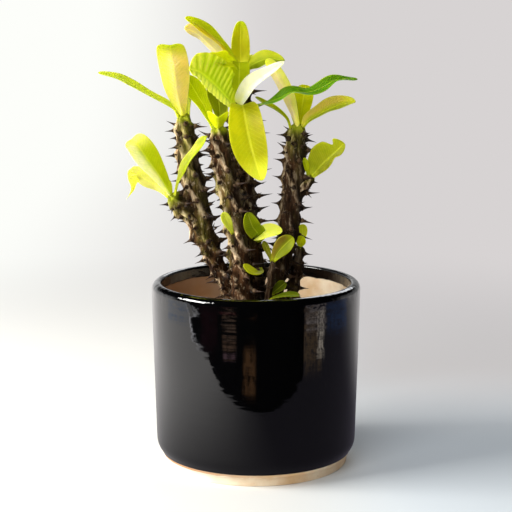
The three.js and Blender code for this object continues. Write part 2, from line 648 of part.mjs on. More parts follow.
    line: [[3, 4.6, 131.5], [3.8, -8, 131.2], [1, -15.5, 132], [-3.6, -18.8, 133.8], [-8.3, -19.8, 138.4]],
    face: [[0, -0.4, 0.9], [0, -0.6, 0.8], [0.3, -0.8, 0.6]],
  },
  leaf_base_olive: {
    ...LEAF, wave: [0.8, 1.4], outline: [0.9, 0.5], rows: 6, colour: 0x98a51c,
    line: [[11.6, -13, 138.8], [14, -14.5, 144.6], [18.5, -15, 150], [24.6, -15, 155.6]],
    face: [[-0.3, -1, 0.2], [-0.3, -1, 0.2]],
  },
  leaf_base_small: {
    ...SMALL, width: 4.4, colour: 0x8b9a1a,
    line: [[10.6, -11.6, 138.6], [7.8, -9.6, 145.6], [4.8, -8, 152]],
    face: [[0, -1, 0.2], [0, -1, 0.2]],
  },
  leaf_floor_flat: {
    ...SMALL, width: 7, colour: 0x86a024,
    line: [[8.4, -13, 113.6], [19.3, -15, 116.4], [29.2, -15.5, 116.6]],
    face: [[0, -0.3, 1], [0, -0.4, 1]],
  },
  leaf_floor_rising: {
    ...SMALL, width: 8, colour: 0x6f7d18,
    line: [[9, -11, 115.4], [14, -9.4, 119.2], [20, -8.4, 124]],
    face: [[-0.4, -0.8, 0.5], [-0.4, -0.8, 0.5]],
  },
  leaf_shoot_back: {
    ...SMALL, width: 7.5, colour: 0xa3b424,
    line: [[29.8, 6.8, 145.4], [31, 8, 152], [31.7, 9.6, 160.5]],
    face: [[-0.2, -1, 0.1], [-0.2, -1, 0.1]],
  },
  leaf_shoot_front: {
    ...SMALL, width: 7.5, colour: 0x9cab26,
    line: [[29.2, 4.6, 145], [30, 1.6, 149.4], [31.4, -0.6, 154]],
    face: [[-0.2, -1, 0.2], [-0.2, -1, 0.2]],
  },
};

// Each leaf is cut back to a small gap from the stems and from the stalks made before it
function leafSolids(stemEnvelopes) {
  const leaves = {};
  const taken = [...stemEnvelopes];
  for (const [name, leaf] of Object.entries(LEAVES)) {
    const cut = taken.reduce((blade, neighbour) => blade.subtract(neighbour), bladeSolid(leaf));
    leaves[name] = largestBody(cut);
    taken.push(bladeSolid(leaf, GAP));
  }
  return leaves;
}

// Stem body without thorns: its runs joined, the last ring of each domed
function stemBody(name, grow = 0) {
  return STEMS[name].runs.map(({ line }) => stemTube(line, grow)).reduce((body, run) => body.add(run));
}

// A stem with its thorns; one that would cross a leaf or another stem is left off
function thornyStem(name, obstacles) {
  const others = obstacles.reduce((all, one) => all.add(one));
  let stem = stemBody(name);
  for (const { line, thorns } of STEMS[name].runs) {
    for (const thorn of thornsOf(line, thorns)) {
      if (thorn.intersect(others).isEmpty()) stem = stem.add(thorn);
    }
  }
  return largestBody(stem);
}

function finish(name, shape, settings) {
  const mesh = new THREE.Mesh(geometryOf(shape), new THREE.MeshStandardMaterial(settings));
  mesh.name = name;
  return mesh;
}

// The whole plant in its pot
function pottedEuphorbia() {
  const group = new THREE.Group();
  const names = Object.keys(STEMS);
  const envelopes = names.map((name) => stemBody(name, GAP));
  const wideEnvelopes = names.map((name) => stemBody(name, THORN_CLEAR));
  const wideLeaves = Object.values(LEAVES).map((leaf) => bladeSolid(leaf, THORN_CLEAR));
  const leaves = leafSolids(envelopes);
  group.add(finish('pot', turned(potOutline(), POT_SIDES), { color: 0x0b0b0d, roughness: 0.12 }));
  group.add(finish('soil', soilSolid(envelopes), { color: 0x2b2019, roughness: 0.95 }));
  const madeStems = [];
  names.forEach((name, i) => {
    const otherStems = wideEnvelopes.filter((envelope, j) => j !== i);
    const stem = thornyStem(name, [...otherStems, ...wideLeaves, ...madeStems]);
    madeStems.push(stem);
    group.add(finish(name, stem, { color: STEMS[name].colour, roughness: 0.8 }));
  });
  for (const [name, leaf] of Object.entries(leaves)) {
    group.add(finish(name, leaf, { color: LEAVES[name].colour, roughness: 0.5 }));
  }
  return group;
}

export default pottedEuphorbia();
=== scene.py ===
# %% [markdown]
# A thorny euphorbia in a glazed pot
#
# The real object is a crown of thorns: four thick stems and two shoots, each one covered with
# knobs that carry thorns, with soft lime leaves at the tips. It grows in a round pot with a black
# glaze and a bare clay foot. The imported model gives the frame, in metres, with the pot standing at
# the origin and its front towards -Y. Every piece below takes the place of one node of that frame.

# %% The frame
import json
import math

import bpy
import numpy as np
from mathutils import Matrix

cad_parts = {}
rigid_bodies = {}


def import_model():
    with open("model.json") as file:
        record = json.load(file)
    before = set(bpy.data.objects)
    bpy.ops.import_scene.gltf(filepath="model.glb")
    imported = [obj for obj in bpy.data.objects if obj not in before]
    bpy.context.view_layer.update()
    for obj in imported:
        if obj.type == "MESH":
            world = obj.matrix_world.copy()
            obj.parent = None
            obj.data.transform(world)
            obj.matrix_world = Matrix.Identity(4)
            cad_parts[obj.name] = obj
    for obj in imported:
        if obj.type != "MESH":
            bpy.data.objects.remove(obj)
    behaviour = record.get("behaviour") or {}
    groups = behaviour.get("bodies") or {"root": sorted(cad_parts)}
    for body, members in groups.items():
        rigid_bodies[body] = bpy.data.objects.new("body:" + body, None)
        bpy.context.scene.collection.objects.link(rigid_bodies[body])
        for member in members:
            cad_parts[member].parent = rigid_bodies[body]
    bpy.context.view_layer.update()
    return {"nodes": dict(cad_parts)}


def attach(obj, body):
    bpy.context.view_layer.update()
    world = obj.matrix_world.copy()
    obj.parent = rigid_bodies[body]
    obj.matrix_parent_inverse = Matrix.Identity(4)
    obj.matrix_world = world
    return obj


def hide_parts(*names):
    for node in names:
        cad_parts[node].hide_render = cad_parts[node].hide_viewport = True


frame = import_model()
MM = 0.001
print("nodes in the frame:", len(frame["nodes"]))

# %% [markdown]
# Light and camera come first, because every later choice is judged in the picture.
#
# A long lens about one metre away looks slightly down on the pot. The lens, the height and the
# tilt together give the pot's mouth and its foot the same ellipses as in the photograph.

# %% Camera
CAMERA_DISTANCE = 0.990
CAMERA_HEIGHT = 0.3185
CAMERA_TILT = math.radians(10.2)
LENS_MM = 105.5

scene = bpy.context.scene
scene.view_settings.view_transform = "Standard"


def add_object(name, data):
    """A new object in the scene."""
    made = bpy.data.objects.new(name, data)
    scene.collection.objects.link(made)
    return made


camera = add_object("camera", bpy.data.cameras.new("camera"))
camera.data.lens = LENS_MM
camera.location = (0, -CAMERA_DISTANCE, CAMERA_HEIGHT)
camera.rotation_euler = (math.pi / 2 - CAMERA_TILT, 0, 0)
scene.camera = camera
print("camera at", tuple(round(c, 3) for c in camera.location))

# %% [markdown]
# Maths on sockets
#
# A finish is a tree of nodes, and most of its nodes only add and multiply. A small class wraps one
# socket and turns Python's operators into those nodes, so that a mask can be written as 1 - mask.
# A second class wraps the tree: its node() method adds any node, whether for a finish or for a
# Geometry Nodes tree, which lets both be written in the same way.

# %% Sockets and trees
NUMBERS = ("VALUE", "INT", "BOOLEAN")


def maths(operation, *values):
    """One Math node, or a Vector Math node where a vector or a colour goes in."""
    wires = [value for value in values if isinstance(value, Wire)]
    graph = wires[0].graph
    if all(wire.socket.type in NUMBERS for wire in wires):
        return graph.node("ShaderNodeMath", dict(enumerate(values)), operation=operation)
    spread = [value if isinstance(value, (Wire, tuple)) else (value,) * 3 for value in values]
    return graph.node("ShaderNodeVectorMath", dict(enumerate(spread)), operation=operation)


class Wire:
    """One output socket. Arithmetic on it adds the Math or Vector Math nodes that it needs."""

    def __init__(self, graph, socket):
        self.graph = graph
        self.socket = socket

    def __add__(self, other):
        return maths("ADD", self, other)

    def __radd__(self, other):
        return maths("ADD", other, self)

    def __sub__(self, other):
        return maths("SUBTRACT", self, other)

    def __rsub__(self, other):
        return maths("SUBTRACT", other, self)

    def __mul__(self, other):
        return maths("MULTIPLY", self, other)

    def __rmul__(self, other):
        return maths("MULTIPLY", other, self)

    def __truediv__(self, other):
        return maths("DIVIDE", self, other)

    def __rtruediv__(self, other):
        return maths("DIVIDE", other, self)

    def __pow__(self, other):
        return maths("POWER", self, other)

    def sine(self):
        return maths("SINE", self)

    def exponent(self):
        return maths("EXPONENT", self)

    def size(self):
        return maths("ABSOLUTE", self)

    def lowest(self, other):
        return maths("MINIMUM", self, other)

    def highest(self, other):
        return maths("MAXIMUM", self, other)

    def step(self, low, high):
        """0 below low, 1 above high and a smooth rise between them."""
        inputs = {"Value": self, "From Min": low, "From Max": high}
        return self.graph.node("ShaderNodeMapRange", inputs, interpolation_type="SMOOTHSTEP")


class Graph:
    """A node tree that is being written."""

    def __init__(self, tree):
        self.tree = tree

    def node(self, kind, inputs=None, output=0, **settings):
        """A new node: its settings first, then the values or links of its sockets."""
        made = self.tree.nodes.new(kind)
        for key, value in settings.items():
            setattr(made, key, value)
        for key, value in (inputs or {}).items():
            self.feed(made.inputs[key], value)
        return Wire(self, made.outputs[output])

    def feed(self, socket, value):
        """Link or set a socket; a list links several geometries to one socket."""
        for one in value if isinstance(value, list) else [value]:
            if isinstance(one, Wire):
                self.tree.links.new(one.socket, socket)
            else:
                socket.default_value = one

    def noise(self, place, scale, detail=3.0, roughness=0.55):
        inputs = {"Vector": place, "Scale": scale, "Detail": detail, "Roughness": roughness}
        return self.node("ShaderNodeTexNoise", inputs)

    def axis(self, vector, name):
        """The X, Y or Z part of a vector."""
        return self.node("ShaderNodeSeparateXYZ", {0: vector}, output=name)

    def vector(self, x, y, z):
        return self.node("ShaderNodeCombineXYZ", {0: x, 1: y, 2: z})


class Finish(Graph):
    """A material: one Principled surface, the constants on it and the nodes that feed it."""

    def __init__(self, name, constants):
        self.material = bpy.data.materials.new(name)
        self.material.use_nodes = True
        super().__init__(self.material.node_tree)
        self.surface = self.tree.nodes["Principled BSDF"]
        self.paint(constants)

    def paint(self, sockets):
        for name, value in sockets.items():
            self.feed(self.surface.inputs[name], value)

    def place(self):
        """Object coordinates: place in metres, since every piece sits at the origin."""
        return self.node("ShaderNodeTexCoord", output="Object")

    def reading(self, name, output="Fac"):
        return self.node("ShaderNodeAttribute", output=output, attribute_name=name)

    def mix(self, share, first, second):
        """Colour that runs from first to second as share runs from 0 to 1."""
        return self.node("ShaderNodeMix", {0: share, 6: first, 7: second}, output=2, data_type="RGBA")

    def bumps(self, height, distance):
        inputs = {"Height": height, "Distance": distance, "Strength": 1.0}
        self.paint({"Normal": self.node("ShaderNodeBump", inputs)})


def tone(text, alpha=1.0):
    """Linear colour from a six-letter screen colour."""
    screen = [int(text[i:i + 2], 16) / 255 for i in (0, 2, 4)]
    linear = [c / 12.92 if c <= 0.04045 else ((c + 0.055) / 1.055) ** 2.4 for c in screen]
    return (*linear, alpha)


print("a lime leaf in linear light:", tuple(round(c, 3) for c in tone("b9cf12")))

# %% [markdown]
# The studio
#
# The picture needs a plain pale floor that runs up into a plain wall with no line between them, and
# it should also look plain from the sides and from behind. So the floor is the bottom of a very
# wide bowl. Close to the pot it is matt and takes the shadow. Further off it glows by itself, white
# on the left and pale grey on the right. Only the floor near the pot adds to the bounced light,
# which brightens the bare foot; the rest would wash out the dark bark.

# %% Floor and backdrop
BOWL_RADIUS = 2.6
BOWL_CORNER = 0.9
BOWL_HEIGHT = 2.6
BOWL_SIDES = 96
FLOOR_RADIUS = 0.8
BLACK = (0.0, 0.0, 0.0, 1.0)
WHITE_WALL = tone("fdfefa")
GREY_WALL = tone("d7d3d3")


def mesh_object(name, points, faces, material=None, smooth=True):
    """A new object from points, faces and one material."""
    mesh = bpy.data.meshes.new(name)
    mesh.from_pydata([tuple(p) for p in points], [], faces)
    mesh.update()
    if smooth:
        mesh.shade_smooth()
    if material:
        mesh.materials.append(material)
    return add_object(name, mesh)


def bowl_outline():
    """Radius and height of the bowl's rings: flat, then a round corner, then upright."""
    centre = BOWL_RADIUS - BOWL_CORNER
    outline = [(r, 0.0) for r in np.linspace(FLOOR_RADIUS, centre, 12)]
    for angle in np.linspace(-90, 0, 14)[1:]:
        turn = math.radians(angle)
        outline.append((centre + BOWL_CORNER * math.cos(turn), BOWL_CORNER * (1 + math.sin(turn))))
    outline.append((BOWL_RADIUS, BOWL_HEIGHT))
    return outline


def ringed(name, outline, material):
    """Surface that an outline sweeps as it turns about the upright axis."""
    points = []
    faces = []
    for ring, (radius, height) in enumerate(outline):
        for side in range(BOWL_SIDES):
            turn = 2 * math.pi * side / BOWL_SIDES
            points.append((radius * math.cos(turn), radius * math.sin(turn), height))
            here = ring * BOWL_SIDES + side
            after = ring * BOWL_SIDES + (side + 1) % BOWL_SIDES
            if ring > 0:
                faces.append((here - BOWL_SIDES, here, after, after - BOWL_SIDES))
    return mesh_object(name, points, faces, material)


def backdrop_finish():
    """Matt and lit by the lamps near the pot, glowing by itself further off."""
    finish = Finish("backdrop", {"Roughness": 0.9, "Specular IOR Level": 0.0, "Emission Strength": 1.0})
    place = finish.place()
    side = finish.axis(place, "X")
    depth = finish.axis(place, "Y")
    far = (side ** 2 + depth ** 2) ** 0.5
    glow = far.step(0.22, 0.85)
    # Painted light: the far backdrop's glow is white on the left, towards the key lamp, and grey on the
    # right.
    wall = finish.mix(side.step(-0.36, 0.08), WHITE_WALL, GREY_WALL)
    # The matt floor near the pot takes a cooler tint on the right, and a painted shade greys it to the right
    # of the pot and behind it.
    right = side.step(-0.02, 0.12)
    behind = depth.step(0.02, 0.26)
    cloth = finish.mix(right, tone("e9e8e3"), tone("dce3e8"))
    cloth = finish.mix(right * behind, cloth, tone("d0cdcd"))
    finish.paint({
        "Base Color": finish.mix(glow, cloth, BLACK),
        "Emission Color": finish.mix(glow, BLACK, wall),
    })
    return finish.material


backdrop_material = backdrop_finish()
backdrop = ringed("backdrop", bowl_outline(), backdrop_material)
backdrop.visible_diffuse = False
floor = ringed("floor", [(r, 0.0) for r in np.linspace(0.001, FLOOR_RADIUS, 12)], backdrop_material)
for sheet in (backdrop, floor):
    sheet.visible_glossy = False
print("the wall behind stands", BOWL_RADIUS, "m away")

# %% [markdown]
# A glazed pot mirrors whatever stands in front of it, and here that is a dark room beyond the
# table's front edge. It shows as a deep black tongue down the middle of the pot. The pale table
# shows on both sides of the tongue and under it, bright on the left and fading to the right. Lamps
# alone can't give that, so a plain box stands round the whole set that only mirrors can see. Its
# own glow is painted by place: the table, its edge, the dark room, a few blurred things on the
# table and in the room, and the pale wall behind. The table's front edge has three straight
# stretches, each one with its place at the middle and its slope. Each thing is a patch with two
# angles seen from the pot, two distances from the pot's middle and a colour.

# %% Room in the mirror
TABLE_EDGES = ((-0.388, -0.606), (-0.212, 0.06), (-0.021, -0.789))
TABLE_CORNER = -0.15
ROOM_SIZE = 2.4
MIRROR_FLOOR = 0.0012
TABLE_BRIGHT = (1.0, 0.97, 0.95, 1.0)
TABLE_DIM = (0.068, 0.062, 0.080, 1.0)
ROOM_DARK = (0.001, 0.001, 0.001, 1.0)
ROOM_PATCHES = [
    ((-0.98, -0.68), (0.37, 0.60), (0.05, 0.010, 0.018, 1.0)),
    ((-0.22, 0.00), (0.255, 0.375), (0.42, 0.21, 0.09, 1.0)),
    ((-0.58, -0.36), (0.345, 0.358), (0.60, 0.36, 0.42, 1.0)),
    ((-0.58, -0.36), (0.372, 0.400), (0.50, 0.30, 0.20, 1.0)),
    ((-0.58, -0.36), (0.428, 0.452), (0.70, 0.45, 0.32, 1.0)),
    ((-0.66, -0.36), (0.560, 0.640), (0.55, 0.13, 0.16, 1.0)),
]
TABLE_PATCHES = [
    ((0.84, 1.22), (0.315, 0.46), (0.40, 0.27, 0.16, 1.0)),
    ((1.15, 1.28), (0.350, 0.50), (1.80, 1.60, 1.35, 1.0)),
    ((0.90, 1.34), (0.450, 0.58), (1.10, 0.95, 0.90, 1.0)),
    ((1.36, 1.95), (0.430, 0.66), (0.09, 0.16, 0.36, 1.0)),
    ((-1.85, -1.30), (0.460, 0.60), (0.50, 0.64, 0.90, 1.0)),
]


def between(value, ends, soft):
    """1 between two ends and 0 outside them, with soft borders."""
    low, high = ends
    return value.step(low - soft, low + soft) * (1 - value.step(high - soft, high + soft))


def patched(finish, base, patches, turn, far, broken):
    """Base colour with soft-edged patches, each one a stretch of directions and of distances."""
    for turns, reach, colour in patches:
        inside = between(turn, turns, 0.03) * between(far, reach, (reach[1] - reach[0]) * 0.2)
        base = finish.mix(inside * broken, base, colour)
    return base


def mirror_finish():
    """Glow of the room that only mirrors see, painted by place."""
    finish = Finish("mirror_room", {"Base Color": BLACK, "Roughness": 1.0, "Specular IOR Level": 0.0,
                                    "Emission Strength": 1.0})
    place = finish.place()
    x, y, z = (finish.axis(place, name) for name in "XYZ")
    turn = maths("ARCTAN2", x, y * -1.0)
    far = (x ** 2 + y ** 2) ** 0.5
    smear = finish.noise(place, 26, 4, 0.7)
    veins = finish.noise(place, 60, 3, 0.7)
    table = finish.mix(x.step(-0.28, 0.05), TABLE_BRIGHT, TABLE_DIM)
    table = finish.mix(y.step(0.05, 0.4) * x.step(0.0, 0.2) * 0.5, table, TABLE_BRIGHT)
    left, middle, right = (x * slope + start for start, slope in TABLE_EDGES)
    edge = left.lowest(TABLE_CORNER).highest(middle).lowest(right) + (smear - 0.5) * 0.014
    gap = y - edge
    shaken = turn + (smear - 0.5) * 0.12
    room = patched(finish, ROOM_DARK, ROOM_PATCHES, shaken, far, smear.step(0.36, 0.56))
    table = patched(finish, table, TABLE_PATCHES, shaken, far, veins.step(0.40, 0.56))
    floor = finish.mix(gap.step(-0.002, 0.002), room, table)
    glint = (1 - gap.size().step(0.001, 0.016)) * (1 - x.step(-0.36, -0.27)) * veins.step(0.42, 0.58)
    floor = finish.mix(glint, floor, (3.2, 3.2, 3.4, 1.0))
    pale = finish.mix(x.step(-0.8, 0.6), (0.8, 0.8, 0.8, 1.0), (0.3, 0.3, 0.3, 1.0))
    wall = finish.mix(y.step(0.0, 0.8) * (1 - z.step(0.5, 1.3)), ROOM_DARK, pale)
    finish.paint({"Emission Color": finish.mix(z.step(0.01, 0.011), floor, wall)})
    return finish.material


def mirror_room():
    """A plain box round the set, with its floor just above the table."""
    corners = [(x, y, z) for z in (MIRROR_FLOOR, ROOM_SIZE) for y in (-ROOM_SIZE, ROOM_SIZE)
               for x in (-ROOM_SIZE, ROOM_SIZE)]
    sides = [(0, 1, 3, 2), (4, 6, 7, 5), (0, 4, 5, 1), (2, 3, 7, 6), (0, 2, 6, 4), (1, 5, 7, 3)]
    room = mesh_object("mirror_room", corners, sides, mirror_finish(), smooth=False)
    room.visible_camera = False
    room.visible_diffuse = False
    room.visible_shadow = False
    room.visible_transmission = False
    return room


mirror_room()
print("blurred things in the mirror:", len(ROOM_PATCHES) + len(TABLE_PATCHES))

# %% [markdown]
# The main light stands on the left, large and soft, a little above the plant. It lights the left
# side of each stem and the inside of the pot on the right, and throws a soft shadow to the right. A
# wide weak light near the camera keeps the leaves' faces clear, and the world fills the rest. In
# the table a lamp has its place, the height that it looks at, its size, its power and its colour.

# %% Lights
LAMPS = {
    "key": ((-0.80, -0.22, 0.62), 0.13, (0.55, 0.28), 12.0, (1.0, 0.985, 0.95)),
    "side": ((-0.85, 0.05, 0.20), 0.19, (0.35, 0.30), 5.0, (1.0, 0.97, 0.92)),
    "fill": ((-0.45, -1.15, 0.95), 0.20, (0.90, 0.70), 9.0, (1.0, 1.0, 1.0)),
    "back": ((0.25, 0.95, 0.75), 0.20, (0.70, 0.50), 3.0, (0.95, 0.97, 1.0)),
}
NOT_MIRRORED = ("side", "fill")
WORLD_STRENGTH = 0.24


def area_light(name, place, aim_height, size, power, colour):
    """A rectangle of light that looks at the pot's axis at a height."""
    lamp = bpy.data.lights.new(name, "AREA")
    lamp.shape = "RECTANGLE"
    lamp.size, lamp.size_y = size
    lamp.energy = power
    lamp.color = colour
    made = add_object(name, lamp)
    made.location = place
    aim = np.array((0, 0, aim_height)) - np.array(place)
    heading = math.atan2(aim[1], aim[0]) - math.pi / 2
    drop = math.atan2(aim[2], math.hypot(aim[0], aim[1]))
    made.rotation_euler = (math.pi / 2 + drop, 0, heading)
    return made


for name, lamp in LAMPS.items():
    area_light(name, *lamp).visible_glossy = name not in NOT_MIRRORED
scene.world = bpy.data.worlds.new("room")
scene.world.use_nodes = True
room = scene.world.node_tree.nodes["Background"]
room.inputs["Color"].default_value = tone("f2f4f8")
room.inputs["Strength"].default_value = WORLD_STRENGTH
print("lamps:", ", ".join(LAMPS))

# %% [markdown]
# The pot
#
# A pot is thrown on a wheel, so its shape is one outline turned about its axis. The outline is a
# chain of points with round stretches as arcs: bare foot, thick glaze edge, rounded lower corner,
# slightly flared wall, full round lip and a straight inside. Spin could turn it, but a Geometry
# Nodes tree keeps the number of sides as a named input: it lays out a grid of vertices and sends
# each one to its height and angle.

# %% Outline of the pot
POT_HEIGHT = 124
POT_FLOOR = 7
RIM_RADIUS = 70
WAIST_RADIUS = 67.5
FOOT_RADIUS = 61.8
FOOT_ROUND = 0.8
GLAZE_EDGE_RADIUS = 63.5
GLAZE_EDGE_HEIGHT = 6.6
GLAZE_EDGE_ROUND = 0.9
CORNER_RADIUS = 13
CORNER_DROP = 2.4
WALL_TOP_DROP = 10
LIP_OUTER_ROUND = 4.6
LIP_INNER_ROUND = 1.8
MOUTH_RADIUS = 63.6
INSIDE_BOTTOM_RADIUS = 61
INSIDE_CORNER_RADIUS = 8
POT_SIDES = 192


def arc(centre_r, centre_z, radius, start, end, steps):
    """Points of an arc from one angle in degrees to another."""
    turns = np.radians(np.linspace(start, end, steps + 1))
    return [(centre_r + radius * math.cos(t), centre_z + radius * math.sin(t)) for t in turns]


def straight(start, end, steps):
    """Points between two ends, without the ends themselves."""
    low, high = np.array(start), np.array(end)
    return [tuple(low + (high - low) * i / steps) for i in range(1, steps)]


def pot_outline():
    """The pot's section from the middle of its foot round the lip to the middle of its floor."""
    foot_corner = FOOT_RADIUS - FOOT_ROUND
    foot = [(0, 0), *straight((0, 0), (foot_corner, 0), 8)]
    foot += arc(foot_corner, FOOT_ROUND, FOOT_ROUND, -90, 0, 4)
    edge = arc(FOOT_RADIUS + 0.2, GLAZE_EDGE_HEIGHT - 0.5, 0.5, -90, -20, 2)
    edge += arc(GLAZE_EDGE_RADIUS - GLAZE_EDGE_ROUND, GLAZE_EDGE_HEIGHT + 0.1, GLAZE_EDGE_ROUND, -70, 0, 5)
    corner_height = GLAZE_EDGE_HEIGHT + CORNER_RADIUS - CORNER_DROP
    corner = arc(WAIST_RADIUS - CORNER_RADIUS, corner_height, CORNER_RADIUS, -36, 0, 12)
    wall_top = (RIM_RADIUS, POT_HEIGHT - WALL_TOP_DROP)
    wall = [*straight(corner[-1], wall_top, 28), wall_top]
    lip = arc(RIM_RADIUS - LIP_OUTER_ROUND, POT_HEIGHT - LIP_OUTER_ROUND, LIP_OUTER_ROUND, 0, 84, 12)
    lip += arc(MOUTH_RADIUS + LIP_INNER_ROUND, POT_HEIGHT - LIP_INNER_ROUND, LIP_INNER_ROUND, 100, 180, 8)
    inside = arc(INSIDE_BOTTOM_RADIUS - INSIDE_CORNER_RADIUS, POT_FLOOR + INSIDE_CORNER_RADIUS,
                 INSIDE_CORNER_RADIUS, 0, -90, 6)
    well = [*straight(lip[-1], inside[0], 20), *inside]
    well += [*straight(inside[-1], (0, POT_FLOOR), 6), (0, POT_FLOOR)]
    return [*foot, *edge, *corner, *wall, *lip, *well]


outline = pot_outline()
print("points in the pot's outline:", len(outline))

# %% [markdown]
# A tree for Geometry Nodes is written like a finish. A second small class gives it an input for
# each size, reads and stores attributes and ends the tree, and grown() turns the result into a
# plain mesh. The turning tree is the first one made with it, and any round piece could use it.


# %% Turning tree
class Growth(Graph):
    """A Geometry Nodes tree with one geometry in and one out, and named inputs."""

    KINDS = {float: "NodeSocketFloat", int: "NodeSocketInt", bpy.types.Material: "NodeSocketMaterial"}

    def __init__(self, name, defaults):
        tree = bpy.data.node_groups.new(name, "GeometryNodeTree")
        super().__init__(tree)
        tree.interface.new_socket("Geometry", in_out="INPUT", socket_type="NodeSocketGeometry")
        tree.interface.new_socket("Geometry", in_out="OUTPUT", socket_type="NodeSocketGeometry")
        for label, value in defaults.items():
            kind = next(k for t, k in self.KINDS.items() if isinstance(value, t))
            socket = tree.interface.new_socket(label, in_out="INPUT", socket_type=kind)
            socket.default_value = value
        self.source = tree.nodes.new("NodeGroupInput")
        self.result = tree.nodes.new("NodeGroupOutput")

    def input(self, label):
        return Wire(self, self.source.outputs[label])

    def reading(self, name, data_type="FLOAT"):
        """The value of a named attribute at each point."""
        return self.node("GeometryNodeInputNamedAttribute", {"Name": name}, data_type=data_type)

    def store(self, geometry, name, value, domain="POINT"):
        inputs = {"Geometry": geometry, "Name": name, "Value": value}
        return self.node("GeometryNodeStoreNamedAttribute", inputs, data_type="FLOAT", domain=domain)

    def moved(self, geometry, **places):
        inputs = {"Geometry": geometry, **{key.title(): value for key, value in places.items()}}
        return self.node("GeometryNodeSetPosition", inputs)

    def dressed(self, geometry, material):
        smooth = self.node("GeometryNodeSetShadeSmooth", {"Geometry": geometry})
        return self.node("GeometryNodeSetMaterial", {"Geometry": smooth, "Material": material})

    def random(self, low, high, seed):
        inputs = {2: low, 3: high, "Seed": seed}
        return self.node("FunctionNodeRandomValue", inputs, output=1, data_type="FLOAT")

    def end(self, geometry):
        self.tree.links.new(geometry.socket, self.result.inputs[0])


def grown(name, mesh, growth, settings):
    """The plain mesh object that a Geometry Nodes tree makes from a mesh."""
    piece = add_object(name, mesh)
    modifier = piece.modifiers.new("growth", "NODES")
    modifier.node_group = growth.tree
    for socket in growth.tree.interface.items_tree:
        if socket.in_out == "INPUT" and socket.name in settings:
            modifier[socket.identifier] = settings[socket.name]
    ready = piece.evaluated_get(bpy.context.evaluated_depsgraph_get())
    made = bpy.data.meshes.new_from_object(ready)
    piece.modifiers.clear()
    piece.data = made
    return piece


def turning_tree(material):
    """Each row of a grid goes to one point of the outline, each column to one angle round the axis."""
    growth = Growth("turning", {"Rows": 2, "Sides": 8, "Finish": material})
    rows = growth.input("Rows")
    sides = growth.input("Sides")
    columns = sides + 1
    grid = growth.node("GeometryNodeMeshGrid", {"Vertices X": rows, "Vertices Y": columns})
    index = growth.node("GeometryNodeInputIndex")
    row = maths("FLOOR", index / columns + 0.0001)
    turn = (row * columns - index) / sides * (2 * math.pi)
    position = growth.node("GeometryNodeInputPosition")
    sample = {"Geometry": growth.input("Geometry"), "Value": position, "Index": row}
    spot = growth.node("GeometryNodeSampleIndex", sample, data_type="FLOAT_VECTOR")
    radius = growth.axis(spot, "X")
    place = growth.vector(radius * maths("COSINE", turn), radius * turn.sine(), growth.axis(spot, "Z"))
    wall = growth.moved(grid, position=place)
    sealed = growth.node("GeometryNodeMergeByDistance", {"Geometry": wall, "Distance": 0.00001})
    growth.end(growth.dressed(sealed, growth.input("Finish")))
    return growth


print("spots that the turning tree will place:", len(outline) * (POT_SIDES + 1))

# %% [markdown]
# The glaze is black and as smooth as glass, with soft rings left by the potter's fingers that bend
# the mirror image. It stops in a thick edge just above the foot and runs over the lip for a few
# millimetres; below that line the inside shows its bare sandy clay. One finish does both: the
# height and the radius of each spot say whether it is glazed, and a little noise makes the edge
# uneven.

# %% Glaze and clay
GLAZE_BLACK = (0.001, 0.001, 0.0012, 1.0)
CLAY_PALE = tone("fae8cc")
# Painted light: the bare foot where the key lamp falls on it.
CLAY_LIT_FOOT = tone("fffbea")
CLAY_DARK = tone("e2bb8a")
# Painted shade: the bare clay of the inside wall on the side away from the key lamp.
CLAY_SHADED_INSIDE = tone("b0703a")
INSIDE_GLAZE_DEPTH = 7.6


